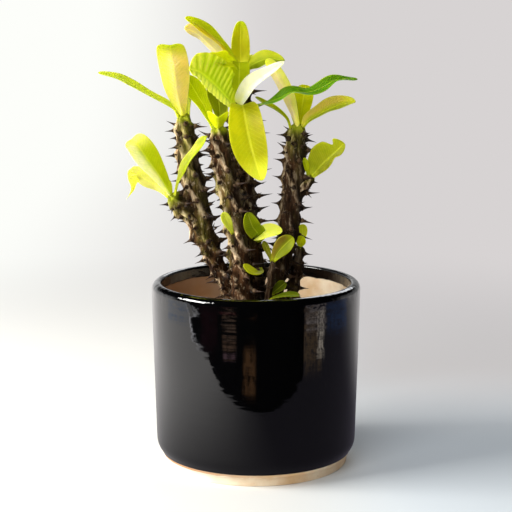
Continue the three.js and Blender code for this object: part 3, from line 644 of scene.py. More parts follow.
def glaze_finish():
    """Black glass with soft rings, and bare sandy clay at the foot and inside."""
    finish = Finish("glaze", {"IOR": 1.55, "Specular IOR Level": 0.55})
    place = finish.place()
    x, y, height = (finish.axis(place, name) for name in "XYZ")
    out = (x ** 2 + y ** 2) ** 0.5
    waver = finish.noise(place, 90, 2) - 0.5
    foot_line = (GLAZE_EDGE_HEIGHT - 0.3) * MM
    above_foot = (height + waver * 0.0006).step(foot_line - 0.0001, foot_line + 0.0001)
    inner_line = (POT_HEIGHT - INSIDE_GLAZE_DEPTH) * MM
    below_lip = 1 - (height + waver * 0.0022).step(inner_line - 0.0003, inner_line + 0.0003)
    inside = 1 - out.step((MOUTH_RADIUS + 0.5) * MM, (MOUTH_RADIUS + 0.7) * MM)
    bare = (below_lip * inside).highest(1 - above_foot)
    sand = finish.noise(place, 700, 4, 0.7)
    patches = finish.noise(place, 45, 3)
    clay = finish.mix(patches.step(0.3, 0.75), CLAY_PALE, CLAY_DARK)
    clay = finish.mix(sand.step(0.62, 0.75) * 0.5, clay, tone("8a6238"))
    # Painted shade: the inside wall on the left, away from the key lamp, turns darker brown.
    painted_shade_inside = (1 - x.step(-0.05, 0.03)) * inside * above_foot
    clay = finish.mix(painted_shade_inside * 0.8, clay, CLAY_SHADED_INSIDE)
    # Painted light: the bare foot on the left, where the key lamp falls, turns nearly white.
    painted_light_foot = (1 - x.step(-0.055, 0.0)) * (1 - above_foot)
    clay = finish.mix(painted_light_foot * 0.9, clay, CLAY_LIT_FOOT)
    rings = finish.noise(place * (14.0, 14.0, 170.0), 1.0, 2, 0.5)
    slow = finish.noise(place * (30.0, 30.0, 12.0), 1.0, 2, 0.5)
    pits = finish.noise(place, 900, 1)
    drips = finish.noise(place, 75, 3, 0.6) * height.step(0.110, 0.1235)
    glass = rings * 0.00009 + slow * 0.0005 + drips * 0.0010
    dull = pits.step(0.72, 0.8) * 0.05 + bare * 0.8 + inside * above_foot * 0.15
    finish.paint({
        "Base Color": finish.mix(bare, GLAZE_BLACK, clay),
        "Roughness": (0.035 + dull).lowest(0.9),
        "Coat Weight": (1 - bare) * (1 - inside) * 0.6,
        "Coat Roughness": 0.02,
    })
    finish.bumps(glass * (1 - bare) + sand * bare * 0.00025, 1.0)
    return finish.material


def turned_piece(name, points, sides, material):
    """A round piece turned from an outline in millimetres."""
    chain = bpy.data.meshes.new(name + "_outline")
    chain.from_pydata([(r * MM, 0, z * MM) for r, z in points], [], [])
    settings = {"Rows": len(points), "Sides": sides, "Finish": material}
    return grown(name, chain, turning_tree(material), settings)


pot = turned_piece("glazed_pot", outline, POT_SIDES, glaze_finish())
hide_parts("pot")
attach(pot, "root")
print("faces on the pot:", len(pot.data.polygons))

# %% [markdown]
# The soil
#
# The pot is filled to about 28 mm under the lip with a dark mix of peat, bark crumbs and pale grit.
# Its body follows the inside of the pot and has an uneven top. Rings of points make it, because the
# height of each point on the top comes from a formula in x and y.

# %% Body of the soil
SOIL_TOP = 96
SOIL_RINGS = 44
SOIL_SIDES = 150
SOIL_RIM_INSET = 1.6
MOUND_HEIGHT = 1.6
MOUND_RADIUS = 30
GAP = 0.3


def soil_height(x, y):
    """Height of the top: a low mound with clods and fine grain on it."""
    mound = MOUND_HEIGHT * np.exp(-(x * x + y * y) / MOUND_RADIUS ** 2)
    clods = np.sin(x / 5.1 + 1.3) * np.cos(y / 6.3) + 0.6 * np.sin((x + y) / 3.7)
    grain = np.sin(x / 1.3 + 2 * np.sin(y / 2.1)) * np.sin(y / 1.1 + 2 * np.cos(x / 1.7))
    return SOIL_TOP + mound + 0.8 * clods + 0.35 * grain


def fan(centre, first, sides, reverse):
    """Triangles from a centre to a ring of points."""
    pairs = [(first + i, first + (i + 1) % sides) for i in range(sides)]
    return [(centre, b, a) if reverse else (centre, a, b) for a, b in pairs]


def tube_faces(first, rings, sides, reverse):
    """Quads between rings of points that follow each other."""
    faces = []
    for ring in range(rings - 1):
        low = first + ring * sides
        for i in range(sides):
            after = (i + 1) % sides
            quad = (low + i, low + after, low + sides + after, low + sides + i)
            faces.append(quad[::-1] if reverse else quad)
    return faces


def soil_body():
    """Closed body with an uneven top; the attribute top is 1 where crumbs may lie."""
    rim = MOUTH_RADIUS - SOIL_RIM_INSET - GAP
    outline = [(rim * i / SOIL_RINGS, SOIL_TOP) for i in range(1, SOIL_RINGS + 1)]
    outline += [(INSIDE_BOTTOM_RADIUS - GAP, POT_FLOOR + INSIDE_CORNER_RADIUS + GAP)]
    outline += [(INSIDE_BOTTOM_RADIUS - INSIDE_CORNER_RADIUS, POT_FLOOR + GAP)]
    turns = 2 * np.pi * np.arange(SOIL_SIDES) / SOIL_SIDES
    points = [(0, 0, soil_height(0.0, 0.0))]
    for ring, (radius, height) in enumerate(outline):
        x = radius * np.cos(turns)
        y = radius * np.sin(turns)
        z = soil_height(x, y) if ring < SOIL_RINGS else np.full(SOIL_SIDES, float(height))
        points += list(zip(x, y, z))
    points.append((0, 0, POT_FLOOR + GAP))
    faces = fan(0, 1, SOIL_SIDES, False) + tube_faces(1, len(outline), SOIL_SIDES, True)
    faces += fan(len(points) - 1, 1 + (len(outline) - 1) * SOIL_SIDES, SOIL_SIDES, True)
    mesh = bpy.data.meshes.new("soil_body")
    mesh.from_pydata([tuple(MM * c for c in p) for p in points], [], faces)
    top = mesh.attributes.new("top", "FLOAT", "POINT")
    top.data.foreach_set("value", [float(0 < i <= (SOIL_RINGS - 1) * SOIL_SIDES) for i in range(len(points))])
    return mesh


soil_mesh = soil_body()
print("points in the soil's body:", len(soil_mesh.vertices))

# %% [markdown]
# The crumbs lie on the soil at random, and a Geometry Nodes tree scatters them: points on the top
# faces, a rough lump on each point, turned and scaled by seeded random values. Another random value
# goes to the finish, which makes each crumb peat, bark or grit.

# %% Crumbs on the soil
CRUMB_DENSITY = 420000.0
CRUMB_SIZE = 1.25
FULL_TURN = 6.3


def crumb_tree(material):
    """Rough lumps of random size and heading on the top of the soil's body."""
    growth = Growth("crumbs", {"Crumbs per square metre": 1.0, "Size": 0.001, "Finish": material})
    body = growth.input("Geometry")
    top = maths("GREATER_THAN", growth.reading("top"), 0.5)
    seat = {"Mesh": body, "Selection": top, "Density": growth.input("Crumbs per square metre"), "Seed": 4}
    points = growth.node("GeometryNodeDistributePointsOnFaces", seat)
    lump = growth.node("GeometryNodeMeshIcoSphere", {"Radius": growth.input("Size"), "Subdivisions": 1})
    place = growth.node("GeometryNodeInputPosition")
    lump = growth.moved(lump, offset=growth.vector(0.0, 0.0, growth.noise(place, 900, 1) * 0.0008))
    spin = growth.vector(*(growth.random(0.0, FULL_TURN, seed) for seed in (1, 2, 3)))
    turned = growth.node("FunctionNodeEulerToRotation", {"Euler": spin})
    girth = growth.random(0.35, 1.0, 5)
    stretch = growth.vector(girth * growth.random(0.7, 1.9, 6), girth, girth * growth.random(0.5, 1.0, 7))
    inputs = {"Points": points, "Instance": lump, "Rotation": turned, "Scale": stretch}
    crumbs = growth.node("GeometryNodeInstanceOnPoints", inputs)
    crumbs = growth.store(crumbs, "crumb", growth.random(0.05, 1.0, 8), "INSTANCE")
    real = growth.node("GeometryNodeRealizeInstances", {"Geometry": crumbs})
    joined = growth.node("GeometryNodeJoinGeometry", {"Geometry": [body, real]})
    growth.end(growth.dressed(joined, growth.input("Finish")))
    return growth


def soil_finish():
    """Dark peat, with bark and pale grit among its crumbs."""
    finish = Finish("soil", {"Specular IOR Level": 0.25})
    place = finish.place()
    crumb = finish.reading("crumb")
    grain = finish.noise(place, 600, 4, 0.7)
    peat = finish.mix(grain.step(0.3, 0.7), (0.012, 0.0075, 0.005, 1), (0.055, 0.034, 0.02, 1))
    bark = finish.mix(grain, (0.05, 0.025, 0.012, 1), (0.19, 0.105, 0.055, 1))
    soil = finish.mix(crumb.step(0.4, 0.55) * (1 - crumb.step(0.88, 0.9)), peat, bark)
    soil = finish.mix(crumb.step(0.93, 0.95), soil, (0.5, 0.46, 0.38, 1))
    finish.paint({"Base Color": soil, "Roughness": 0.8 + grain * 0.2})
    finish.bumps(grain * 0.0004, 1.0)
    return finish.material


soil_material = soil_finish()
soil_settings = {"Crumbs per square metre": CRUMB_DENSITY, "Size": CRUMB_SIZE * MM, "Finish": soil_material}
soil = grown("potting_soil", soil_mesh, crumb_tree(soil_material), soil_settings)
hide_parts("soil")
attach(soil, "root")
print("faces on the soil:", len(soil.data.polygons))

# %% [markdown]
# Lines that stems and leaves follow
#
# A stem or a leaf is drawn by a few points along its middle, as a florist would bend a wire. A
# centripetal curve runs through them: it never loops or overshoots between two close points. Nearly
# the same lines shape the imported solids, so each finer piece below lies where its solid is, apart
# from a few leaves that are set right by some millimetres.

# %% Curve through points
LENGTH_STEPS = 200
EVEN_SHARES = np.linspace(0, 1, LENGTH_STEPS + 1)


def on_line(line, shares):
    """Points of a smooth curve through a line's points, at shares of its number of spans."""
    given = np.array(line, float)[:, :3]
    spans = len(given) - 1
    padded = np.vstack([2 * given[0] - given[1], given, 2 * given[-1] - given[-2]])
    place = np.clip(shares, 0, 1) * spans
    low = np.minimum(place.astype(int), spans - 1)
    t = (place - low)[:, None]
    p0, p1, p2, p3 = (padded[low + k] for k in range(4))
    pairs = ((p0, p1), (p1, p2), (p2, p3))
    d0, d1, d2 = (np.sqrt(np.linalg.norm(b - a, axis=1))[:, None] for a, b in pairs)
    m1 = ((p1 - p0) / d0 - (p2 - p0) / (d0 + d1) + (p2 - p1) / d1) * d1
    m2 = ((p2 - p1) / d1 - (p3 - p1) / (d1 + d2) + (p3 - p2) / d2) * d1
    bend = (-3 * p1 + 3 * p2 - 2 * m1 - m2) * t ** 2
    return p1 + m1 * t + bend + (2 * p1 - 2 * p2 + m1 + m2) * t ** 3


def headings(line, shares):
    """Direction of the curve at shares of its spans."""
    step = 0.0001
    ahead = on_line(line, np.minimum(shares + step, 1)) - on_line(line, np.maximum(shares - step, 0))
    return ahead / np.linalg.norm(ahead, axis=1)[:, None]


def line_lengths(line):
    """Length of the curve up to each of the even shares."""
    points = on_line(line, EVEN_SHARES)
    return np.concatenate([[0], np.cumsum(np.linalg.norm(np.diff(points, axis=0), axis=1))])


def by_length(line, shares):
    """Shares of a curve's spans that lie at given shares of its length."""
    lengths = line_lengths(line)
    return np.interp(np.asarray(shares) * lengths[-1], lengths, EVEN_SHARES)


ARCH = [(0, 0, 0), (5, 0, 10), (0, 0, 20)]
print("an arch over 20 mm measures", round(float(line_lengths(ARCH)[-1]), 1), "mm")

# %% [markdown]
# Stems
#
# Each stem is as thick as a finger and grew slowly: grey-brown bark, greener near the tip. Knobs
# stand on it in turning rows, a golden angle apart, and on each knob sits a thorn with a wide foot
# and two small ones beside it. Between the knobs the bark sinks in smooth hollows, which gives the
# stem its scalloped outline.
#
# A stem is one run or, with a side branch, two. Each point of a run's line has the radius there as
# its fourth number. Step is the way up the run from one thorn to the next, start the height of the
# first one and length a thorn's usual length, all in millimetres. Green says how olive the run gets
# towards its tip, and gloom up to which share of its length it stands in shade. RUN holds what a
# run has when its row doesn't say.

# %% Where the stems run
RUN = dict(step=2.1, length=7.5, start=34, gloom=0.35)
STEMS = {
    "stem_left": [
        dict(
            RUN, green=0.75,
            line=[(-11, 5, 74, 4.9), (-11, 4.8, 90, 5), (-13, 4.5, 106, 5), (-18.8, 3.4, 120, 5.1),
                  (-26.6, 1.8, 136, 5.3), (-32.2, 0.6, 149.5, 6.6), (-35.8, -0.5, 158.5, 8),
                  (-38, -0.6, 170, 8), (-41.2, 1, 187, 7.2), (-44.4, 2, 203, 7.2), (-46.4, 1, 221, 6.2),
                  (-47.6, 0, 232.2, 4.7)]),
        dict(
            RUN, step=2.3, length=5.5, start=11, green=1.3, gloom=0.01,
            line=[(-35.6, -1.6, 158, 5), (-43.9, -4, 168.8, 5.3), (-50.4, -6, 175.1, 5.2),
                  (-54.8, -8, 180.1, 4)]),
    ],
    "stem_middle": [
        dict(
            RUN, green=0.8,
            line=[(-7, -9.6, 74, 6.6), (-7.4, -9.3, 96, 6.7), (-9.2, -8.6, 124, 6.8),
                  (-11.6, -8, 147, 6.8), (-15.2, -8, 172, 6.9), (-20.2, -8, 196, 6.9),
                  (-23.4, -8, 214, 6.3), (-24.6, -8, 224.2, 5.2)]),
    ],
    "stem_tall": [
        dict(
            RUN, green=0.9, gloom=0.5,
            line=[(1.6, 12.4, 74, 6.8), (1.2, 12, 96, 7), (-0.8, 10.8, 124, 7.5), (-4, 10, 150, 7.5),
                  (-7.6, 10, 175, 7.3), (-9.2, 9, 200, 7.9), (-10, 7, 224, 7.6), (-9.9, 5, 243, 6),
                  (-9.9, 4, 265.4, 4)]),
    ],
    "stem_right": [
        dict(
            RUN, step=2.2, length=7, start=36, green=0.9, gloom=1.2,
            line=[(12, 1, 74, 4.6), (12.3, 0.5, 96, 4.6), (14.1, 0, 124, 5.3), (20.1, 0, 149.2, 6.3),
                  (23.4, 0, 175, 6.6), (25.4, 0, 198, 7.2), (26.5, 0, 216, 6.4), (27.2, 0, 225, 5.3)]),
        dict(
            RUN, step=1.9, length=4, start=6.5, green=1.2, gloom=0.01,
            line=[(25.4, 0, 184, 3.2), (29.2, -1, 186.5, 3.3), (33.2, -2, 189.3, 3.3),
                  (36.2, -3, 193, 2.8)]),
    ],
    "shoot_right": [
        dict(
            RUN, step=1.9, length=4.2, start=22, green=0.4, gloom=2.0,
            line=[(23, 8.5, 80, 3.2), (23.4, 8, 100, 3.3), (25.8, 8, 120.3, 3.6), (27.7, 7, 133, 3.6),
                  (29.2, 6, 143.5, 2.8)]),
    ],
    "shoot_front": [
        dict(
            RUN, step=4.5, length=2.4, start=31, green=0.5, gloom=1.6,
            line=[(6, -12, 82, 1.9), (6.6, -12, 104, 2), (9.3, -12, 122.9, 2), (11.3, -12, 138, 1.7)]),
    ],
}
for name, runs in STEMS.items():
    print(name, "is", round(line_lengths(runs[0]["line"])[-1]), "mm long")

# %% [markdown]
# A run of a stem is a tube round its line: rings close together, each square to the line, and a
# round tip of a few smaller rings. Each point also keeps its angle round the run and the length up
# to its ring, because the ribs, the knobs and the colours all follow these two.

# %% Tube round a run
RING_STEP = 0.9
TIP_TURNS = np.radians([18, 36, 52, 66, 78])
TIP_RISE = 0.85


def across_directions(along):
    """Two directions square to a run at each of its points, the first one to its right."""
    right = np.array([1.0, 0, 0]) - along * along[:, :1]
    right /= np.linalg.norm(right, axis=1)[:, None]
    return right, np.cross(along, right)


def run_at(run, shares):
    """Middle, heading and radius of a run at shares of its spans."""
    radii = [entry[3] for entry in run["line"]]
    radius = np.interp(np.clip(shares, 0, 1) * (len(radii) - 1), range(len(radii)), radii)
    return on_line(run["line"], shares), headings(run["line"], shares), radius


def tube_rings(run, sides):
    """Rings round a run with a round tip, the angle of each point and the length up to each ring."""
    lengths = line_lengths(run["line"])
    shares = np.linspace(0, 1, int(lengths[-1] / RING_STEP))
    middle, along, radius = run_at(run, shares)
    height = np.interp(shares, EVEN_SHARES, lengths)
    rise = radius[-1] * TIP_RISE * np.sin(TIP_TURNS)
    middle = np.vstack([middle, middle[-1] + along[-1] * rise[:, None]])
    along = np.vstack([along, np.tile(along[-1], (len(rise), 1))])
    height = np.append(height, height[-1] + rise)
    radius = np.append(radius, radius[-1] * np.cos(TIP_TURNS))
    right, back = across_directions(along)
    angles = np.tile(2 * np.pi * np.arange(sides) / sides, (len(height), 1))
    outward = np.cos(angles)[..., None] * right[:, None] + np.sin(angles)[..., None] * back[:, None]
    return middle[:, None] + radius[:, None, None] * outward, angles, height


print("rings on the tall stem:", len(tube_rings(STEMS["stem_tall"][0], 8)[0]))

# %% [markdown]
# Knobs sit on five ribs that wind slowly round the stem: five steps of the golden angle come back
# almost to the same side. To shape knobs that are longer along the rib than across it, each spot of
# the bark also gets its place on a straight, untwisted and shortened copy of the stem. Distances
# are measured there.

# %% Straight copy of a stem
RIBS = 5
THORN_TURN = math.pi * (3 - math.sqrt(5))
SHORTENED = 0.6
RUN_APART = 1000


def rib_angle(run, angles, height):
    """Angle round the stem, counted from the slowly winding ribs."""
    step_back = 2 * math.pi * 2 / RIBS - THORN_TURN
    return angles + step_back * (height - run["start"]) / run["step"]


def straight_place(run, number, angles, height):
    """Places on the straight copy, in metres; each run of a stem has a copy of its own."""
    winding = rib_angle(run, angles, height)
    girth = np.mean([entry[3] for entry in run["line"]])
    up = np.broadcast_to(height * SHORTENED + number * RUN_APART, winding.shape)
    return np.stack([girth * np.cos(winding), girth * np.sin(winding), up], axis=-1) * MM


print("degrees from one thorn to the next:", round(math.degrees(THORN_TURN), 1))

# %% [markdown]
# A main thorn points out from its knob, a little up or down and to one side. Two small ones stand
# beside it, and near a thick tip one more stands opposite. A thorn that would cross another stem is
# left off. One that would cross a leaf is made shorter, or left off if that isn't enough.

# %% Seats of the thorns
CROWDED_TIP = 14.0
CROWDED_RADIUS = 3.5
CROWDED_SIZE = 0.8
SIDE_SIZE = 0.36
SIDE_OFFSET = 0.9
CLEARANCE = 1.5
THORN_MARGIN = 2
SHORTER = (1, 0.75, 0.5)
CHECKED_SHARES = np.array([[0.3], [0.55], [0.8], [1.0]])


def seat_record(root, aim, length, rank, flat):
    """Where a thorn stands, points and reaches; one of rank 0 has a knob under it."""
    return dict(root=root, aim=aim / np.linalg.norm(aim), length=length, rank=rank, flat=flat)


def seats_at(run, number, k, lengths):
    """The main thorn of one step up a run, and the small ones that go with it."""
    height = run["start"] + k * run["step"]
    share = np.interp(height, lengths, EVEN_SHARES)
    middle, along, radius = (value[0] for value in run_at(run, np.array([share])))
    right, back = (value[0] for value in across_directions(along[None, :]))
    angle = k * THORN_TURN
    outward = right * math.cos(angle) + back * math.sin(angle)
    round_it = np.cross(along, outward)
    longest = run["length"] * (1.0 + 0.3 * math.sin(2.4 * k + 1))
    flat = straight_place(run, number, np.array(angle), height)
    root = middle + outward * radius
    aim = outward + along * 0.16 * math.sin(5 * k) + round_it * 0.28 * math.sin(3.7 * k)
    seats = [seat_record(root, aim, longest, 0, flat)]
    if height > lengths[-1] - CROWDED_TIP and radius > CROWDED_RADIUS:
        crowd = -outward + along * 0.5 + round_it * 0.5 * math.cos(3.1 * k)
        seats.append(seat_record(middle - outward * radius, crowd, longest * CROWDED_SIZE, 1, flat))
    for side in (-1, 1):
        small = longest * (SIDE_SIZE + 0.2 * math.sin(4.1 * k + side))
        spread = outward + side * round_it * (0.8 + 0.2 * math.sin(k))
        spread = spread + along * 0.4 * math.cos(2.2 * k + side)
        seats.append(seat_record(root + side * round_it * SIDE_OFFSET, spread, small, 1, flat))
    return seats


def thorn_seats(run, number):
    """All thorns of a run, from its start height to just under its tip."""
    lengths = line_lengths(run["line"])
    steps = int((lengths[-1] - 0.5 - run["start"]) / run["step"]) + 1
    return [seat for k in range(steps) for seat in seats_at(run, number, k, lengths)]


def clear_of_leaves(seat, leaf_points):
    """True where a thorn keeps clear of every blade; a thorn that can't at full length is shortened."""
    for share in SHORTER:
        reach = seat["length"] * share + THORN_MARGIN
        spots = seat["root"] + seat["aim"] * CHECKED_SHARES * reach
        if np.linalg.norm(leaf_points[None] - spots[:, None], axis=2).min() > CLEARANCE:
            seat["length"] *= share
            return True
    return False


def clear_of_stems(seat, name):
    """True where a thorn's tip keeps clear of every other stem."""
    tip = seat["root"] + seat["aim"] * (seat["length"] + THORN_MARGIN)
    for run in [run for other, runs in STEMS.items() if other != name for run in runs]:
        middle, along, radius = run_at(run, np.linspace(0, 1, 80))
        if (np.linalg.norm(middle - tip, axis=1) - radius).min() < CLEARANCE:
            return False
    return True


print("thorns that the tall stem could carry:", len(thorn_seats(STEMS["stem_tall"][0], 0)))

# %% [markdown]
# The bark and its thorns are one Geometry Nodes tree. Geometry Proximity tells each spot of the
# tube how far the nearest seat is on the straight copy, and an exponential of that distance raises
# a knob with hollow sides. The thorn is a cone whose foot is flared in the same tree; it is put on
# each seat, turned to the seat's aim and scaled to its length. The tree stores three attributes for
# the finishes: relief is 1 at a knob, rise runs up each thorn, and hue differs from thorn to thorn.

# %% Thorny bark
KNOB_HEIGHT = 4.2
KNOB_REACH = 1.6
RIB_HEIGHT = 1.4
HOLLOW = 1.5
THORN_FOOT = 1.7
THORN_USUAL = 6.5
THORN_SIDES = 7
THORN_ROWS = 6
THORN_POINT = 0.02
MAIN_PERCH = 0.55
SIDE_PERCH = 0.2
THORN_SUNK = 0.8


def thorn_cone(growth):
    """A thorn one unit long and one unit thick: wide foot, slim body, sharp tip, slightly bent."""
    inputs = {"Vertices": THORN_SIDES, "Side Segments": THORN_ROWS, "Radius Top": THORN_POINT,
              "Radius Bottom": 1.0, "Depth": 1.0}
    cone = growth.node("GeometryNodeMeshCone", inputs, fill_type="TRIANGLE_FAN")
    place = growth.node("GeometryNodeInputPosition")
    rise = growth.axis(place, "Z")
    flare = (rise * -5.5).exponent() * 0.6 + (1 - rise) * 0.4
    shrink = flare / (1.001 - rise).highest(THORN_POINT)
    bend = rise ** 2 * 0.35
    sharp = growth.axis(place, "X") * shrink + bend
    bent = growth.vector(sharp, growth.axis(place, "Y") * shrink, rise)
    return growth.store(growth.moved(cone, position=bent), "rise", rise)


def raised_bark(growth, tube, seats):
    """The tube with a knob at each main seat, ribs between the knobs and small lumps."""
    main = maths("LESS_THAN", growth.reading("rank"), 0.5)
    knobs = growth.node("GeometryNodeSeparateGeometry", {"Geometry": seats, "Selection": main})
    flat = growth.reading("flat", "FLOAT_VECTOR")
    knobs = growth.moved(knobs, position=flat)
    nearest = {0: knobs, 2: flat}
    distance = growth.node("GeometryNodeProximity", nearest, output="Distance", target_element="POINTS")
    place = growth.node("GeometryNodeInputPosition")
    lumps = growth.noise(place, 230, 3, 0.6) - 0.5
    crease = growth.noise(place, 700, 2, 0.6) - 0.5
    knob = (distance / growth.input("Knob reach") * -1.0).exponent()
    shape = knob * growth.input("Knob height") + growth.reading("rib") * growth.input("Rib height")
    lift = (shape - HOLLOW * MM) * growth.reading("knobby") + lumps * 0.0016 + crease * 0.0006
    tube = growth.store(tube, "relief", knob)
    return growth.moved(tube, offset=growth.node("GeometryNodeInputNormal") * lift)


def bark_tree(bark, thorn):
    """The raised bark of a stem, and a thorn on each of its seats."""
    sizes = {"Knob height": KNOB_HEIGHT * MM, "Knob reach": KNOB_REACH * MM, "Rib height": RIB_HEIGHT * MM,
             "Thorn foot": THORN_FOOT * MM}
    growth = Growth("thorny_bark", {**sizes, "Bark": bark, "Thorn": thorn})
    is_seat = maths("GREATER_THAN", growth.reading("seat"), 0.5)
    parts = {"Geometry": growth.input("Geometry"), "Selection": is_seat}
    seats = growth.node("GeometryNodeSeparateGeometry", parts)
    tube = Wire(growth, seats.socket.node.outputs["Inverted"])
    skin = growth.dressed(raised_bark(growth, tube, seats), growth.input("Bark"))
    aim = growth.reading("aim", "FLOAT_VECTOR")
    perched = growth.moved(seats, offset=aim * growth.reading("perch"))
    turned = growth.node("FunctionNodeAlignRotationToVector", {"Vector": aim}, axis="Z")
    spin = growth.vector(0.0, 0.0, growth.random(0.0, FULL_TURN, 3))
    spin = growth.node("FunctionNodeEulerToRotation", {0: spin})
    spun = growth.node("FunctionNodeRotateRotation", {0: turned, 1: spin}, rotation_space="LOCAL")
    length = growth.reading("length")
    girth = growth.input("Thorn foot") * (length / (THORN_USUAL * MM)).lowest(1.25)
    inputs = {"Points": perched, "Instance": thorn_cone(growth), "Rotation": spun,
              "Scale": growth.vector(girth, girth, length)}
    thorns = growth.node("GeometryNodeInstanceOnPoints", inputs)
    thorns = growth.store(thorns, "hue", growth.random(0.0, 1.0, 9), "INSTANCE")
    real = growth.node("GeometryNodeRealizeInstances", {"Geometry": thorns})
    spikes = growth.dressed(real, growth.input("Thorn"))
    growth.end(growth.node("GeometryNodeJoinGeometry", {"Geometry": [skin, spikes]}))
    return growth


print("sides of a thorn:", THORN_SIDES)

# %% [markdown]
# The tree reads everything from one mesh: the plain tubes of a stem's runs, and one loose point for
# each thorn. Attributes say which points are seats, and what the knobs and the finish need to know
# of each spot: rib, age and tip follow the length up the stem, facing tells its right side from its
# left, gloom is 1 at the foot, and knobby keeps thin shoots smooth.

# %% What the bark tree starts from
THICK_RUN = 4
THICK_SIDES = 64
THIN_SIDES = 40
TIP_GREEN = 6.0
BODY_KEYS = ("points", "flat", "rib", "age", "tip", "facing", "gloom", "knobby")
VECTORS = ("aim", "flat")


def attribute(mesh, name, values, kind="FLOAT"):
    """Give each point of a mesh a value."""
    layer = mesh.attributes.new(name, kind, "POINT")
    key = {"FLOAT": "value", "FLOAT_VECTOR": "vector", "FLOAT_COLOR": "color"}[kind]
    layer.data.foreach_set(key, np.asarray(values, float).ravel())


def run_tube(run, number):
    """Closed plain tube round one run, with what the tree and the finish read from its points."""
    sides = THICK_SIDES if run["line"][0][3] > THICK_RUN else THIN_SIDES
    rings, angles, height = tube_rings(run, sides)
    last = len(rings) * sides

    def ends(values, low, high):
        """Values of the rings, then those of the bottom's and the tip's middle points."""
        return np.concatenate([values.reshape(last, -1), [low], [high]])

    faces = tube_faces(0, len(rings), sides, False)
    faces += fan(last, 0, sides, True) + fan(last + 1, last - sides, sides, False)
    heights = np.repeat(height, sides).reshape(angles.shape)
    share = heights / height[-1]
    flat = straight_place(run, number, angles, heights)
    outward_x = (rings - rings.mean(1, keepdims=True))[..., 0]
    outward_x /= np.abs(outward_x).max(1, keepdims=True)
    rib = (0.5 + 0.5 * np.cos(RIBS * rib_angle(run, angles, heights))) ** 1.5
    top = rings[-1].mean(0) + (rings[-1].mean(0) - rings[-2].mean(0)) * 0.3
    young = min(1, run["line"][-1][3] / 4) ** 2
    return dict(
        faces=faces,
        points=ends(rings, rings[0].mean(0), top),
        flat=ends(flat, flat[0].mean(0), flat[-1].mean(0)),
        rib=ends(rib, [0], [0]),
        age=ends(share * run["green"], [0], [run["green"]]),
        tip=ends(np.exp((heights - height[-1]) / TIP_GREEN) * young, [0], [0.6]),
        facing=ends(outward_x, [0], [0]),
        gloom=ends(np.clip(1 - share / run["gloom"], 0, 1), [1], [0]),
        knobby=np.full((last + 2, 1), min(1.0, run["line"][0][3] / 5.0)))


def stem_source(name, leaf_points):
    """Plain tubes of a stem's runs, and a loose point for each thorn's seat."""
    tubes = [run_tube(run, number) for number, run in enumerate(STEMS[name])]
    seats = [seat for number, run in enumerate(STEMS[name]) for seat in thorn_seats(run, number)]
    seats = [seat for seat in seats if clear_of_leaves(seat, leaf_points) and clear_of_stems(seat, name)]
    body = {key: np.vstack([tube[key] for tube in tubes]) for key in BODY_KEYS}
    faces = []
    for tube, first in zip(tubes, np.cumsum([0] + [len(tube["points"]) for tube in tubes])):
        faces += [tuple(int(first) + i for i in face) for face in tube["faces"]]
    mesh = bpy.data.meshes.new(name + "_source")
    places = np.vstack([body["points"], [seat["root"] for seat in seats]])
    mesh.from_pydata([tuple(p) for p in places * MM], [], faces)
    blank = np.zeros((len(body["points"]), 1))
    body |= {"seat": blank, "rank": blank, "length": blank, "perch": blank, "aim": blank.repeat(3, axis=1)}
    rise = KNOB_HEIGHT * float(body["knobby"][0, 0]) * MM
    none = np.zeros(len(seats))
    on_seats = {
        "seat": none + 1,
        "rank": [seat["rank"] for seat in seats],
        "length": [(seat["length"] + THORN_SUNK) * MM for seat in seats],
        "perch": [(SIDE_PERCH if seat["rank"] else MAIN_PERCH) * rise for seat in seats],
        "aim": [seat["aim"] for seat in seats],
        "flat": [seat["flat"] for seat in seats],
        "rib": none, "age": none + 1, "tip": none, "gloom": none, "facing": none, "knobby": none + 1,
    }
    for label, values in on_seats.items():
        joined = np.vstack([body[label], np.reshape(values, (len(seats), -1))])
        attribute(mesh, label, joined, "FLOAT_VECTOR" if label in VECTORS else "FLOAT")
    return mesh


print("values that each point of a stem carries:", len(BODY_KEYS) - 1)

# %% [markdown]
# Leaves
#
# A leaf of this plant is soft and slightly thick, narrow at the stalk and widest past its middle,
# with a smooth edge, a pale midrib and faint side veins. Young ones are bright lime, and some turn
# their tan or pale yellow underside to the viewer. A leaf is described by its middle line, by the
# way its upper face looks at a few places, and by its width, fold and waves. A formula lays the
# blade out from these, which keeps forty-one different leaves in one table.

# %% Colours of the leaves
LIME = "b0bc02"
BRIGHT = "ccd604"
YELLOW = "e8ee3a"
OLIVE = "949c02"
# The darkest olive is painted shade, for leaves and pleats that lie in shadow.
SHADED_OLIVE = "6a7202"
GREEN = "50820c"
BLUE_GREEN = "78a070"
TAN = "efc97c"
PALE = "f8f070"
# The cream tone is a pale leaf's colour with a painted highlight in it.
CREAM_HIGHLIGHT = "fdfce6"
print("the deepest green in linear light:", tuple(round(c, 3) for c in tone(GREEN)))

# %% [markdown]
# In the table, line is the middle line from the stalk to the tip in millimetres, and face gives the
# directions that the upper side turns to along it. Width is the full width, and fold the angle in
# degrees by which the halves rise from the midrib. Wave is the height and the number of the edge's
# waves, and pleats the number of ripples across the blade. Swell holds two powers: a larger first
# one makes the blade widen later, a larger second one makes it narrow sooner. Skew makes one half
# the wider, and a bite takes a piece out of the edge, given by its place, its side and its depth.
#
# Upper and under are the colours of the two faces. Tip, left and right change parts of both; left
# and right are those of a blade seen from its stalk with the upper side on top. Glow is the
# strength of the leaf's own light, and slot names its finish. LEAF holds what a leaf has when its
# row doesn't say, and REAR what the leaves behind have in common.

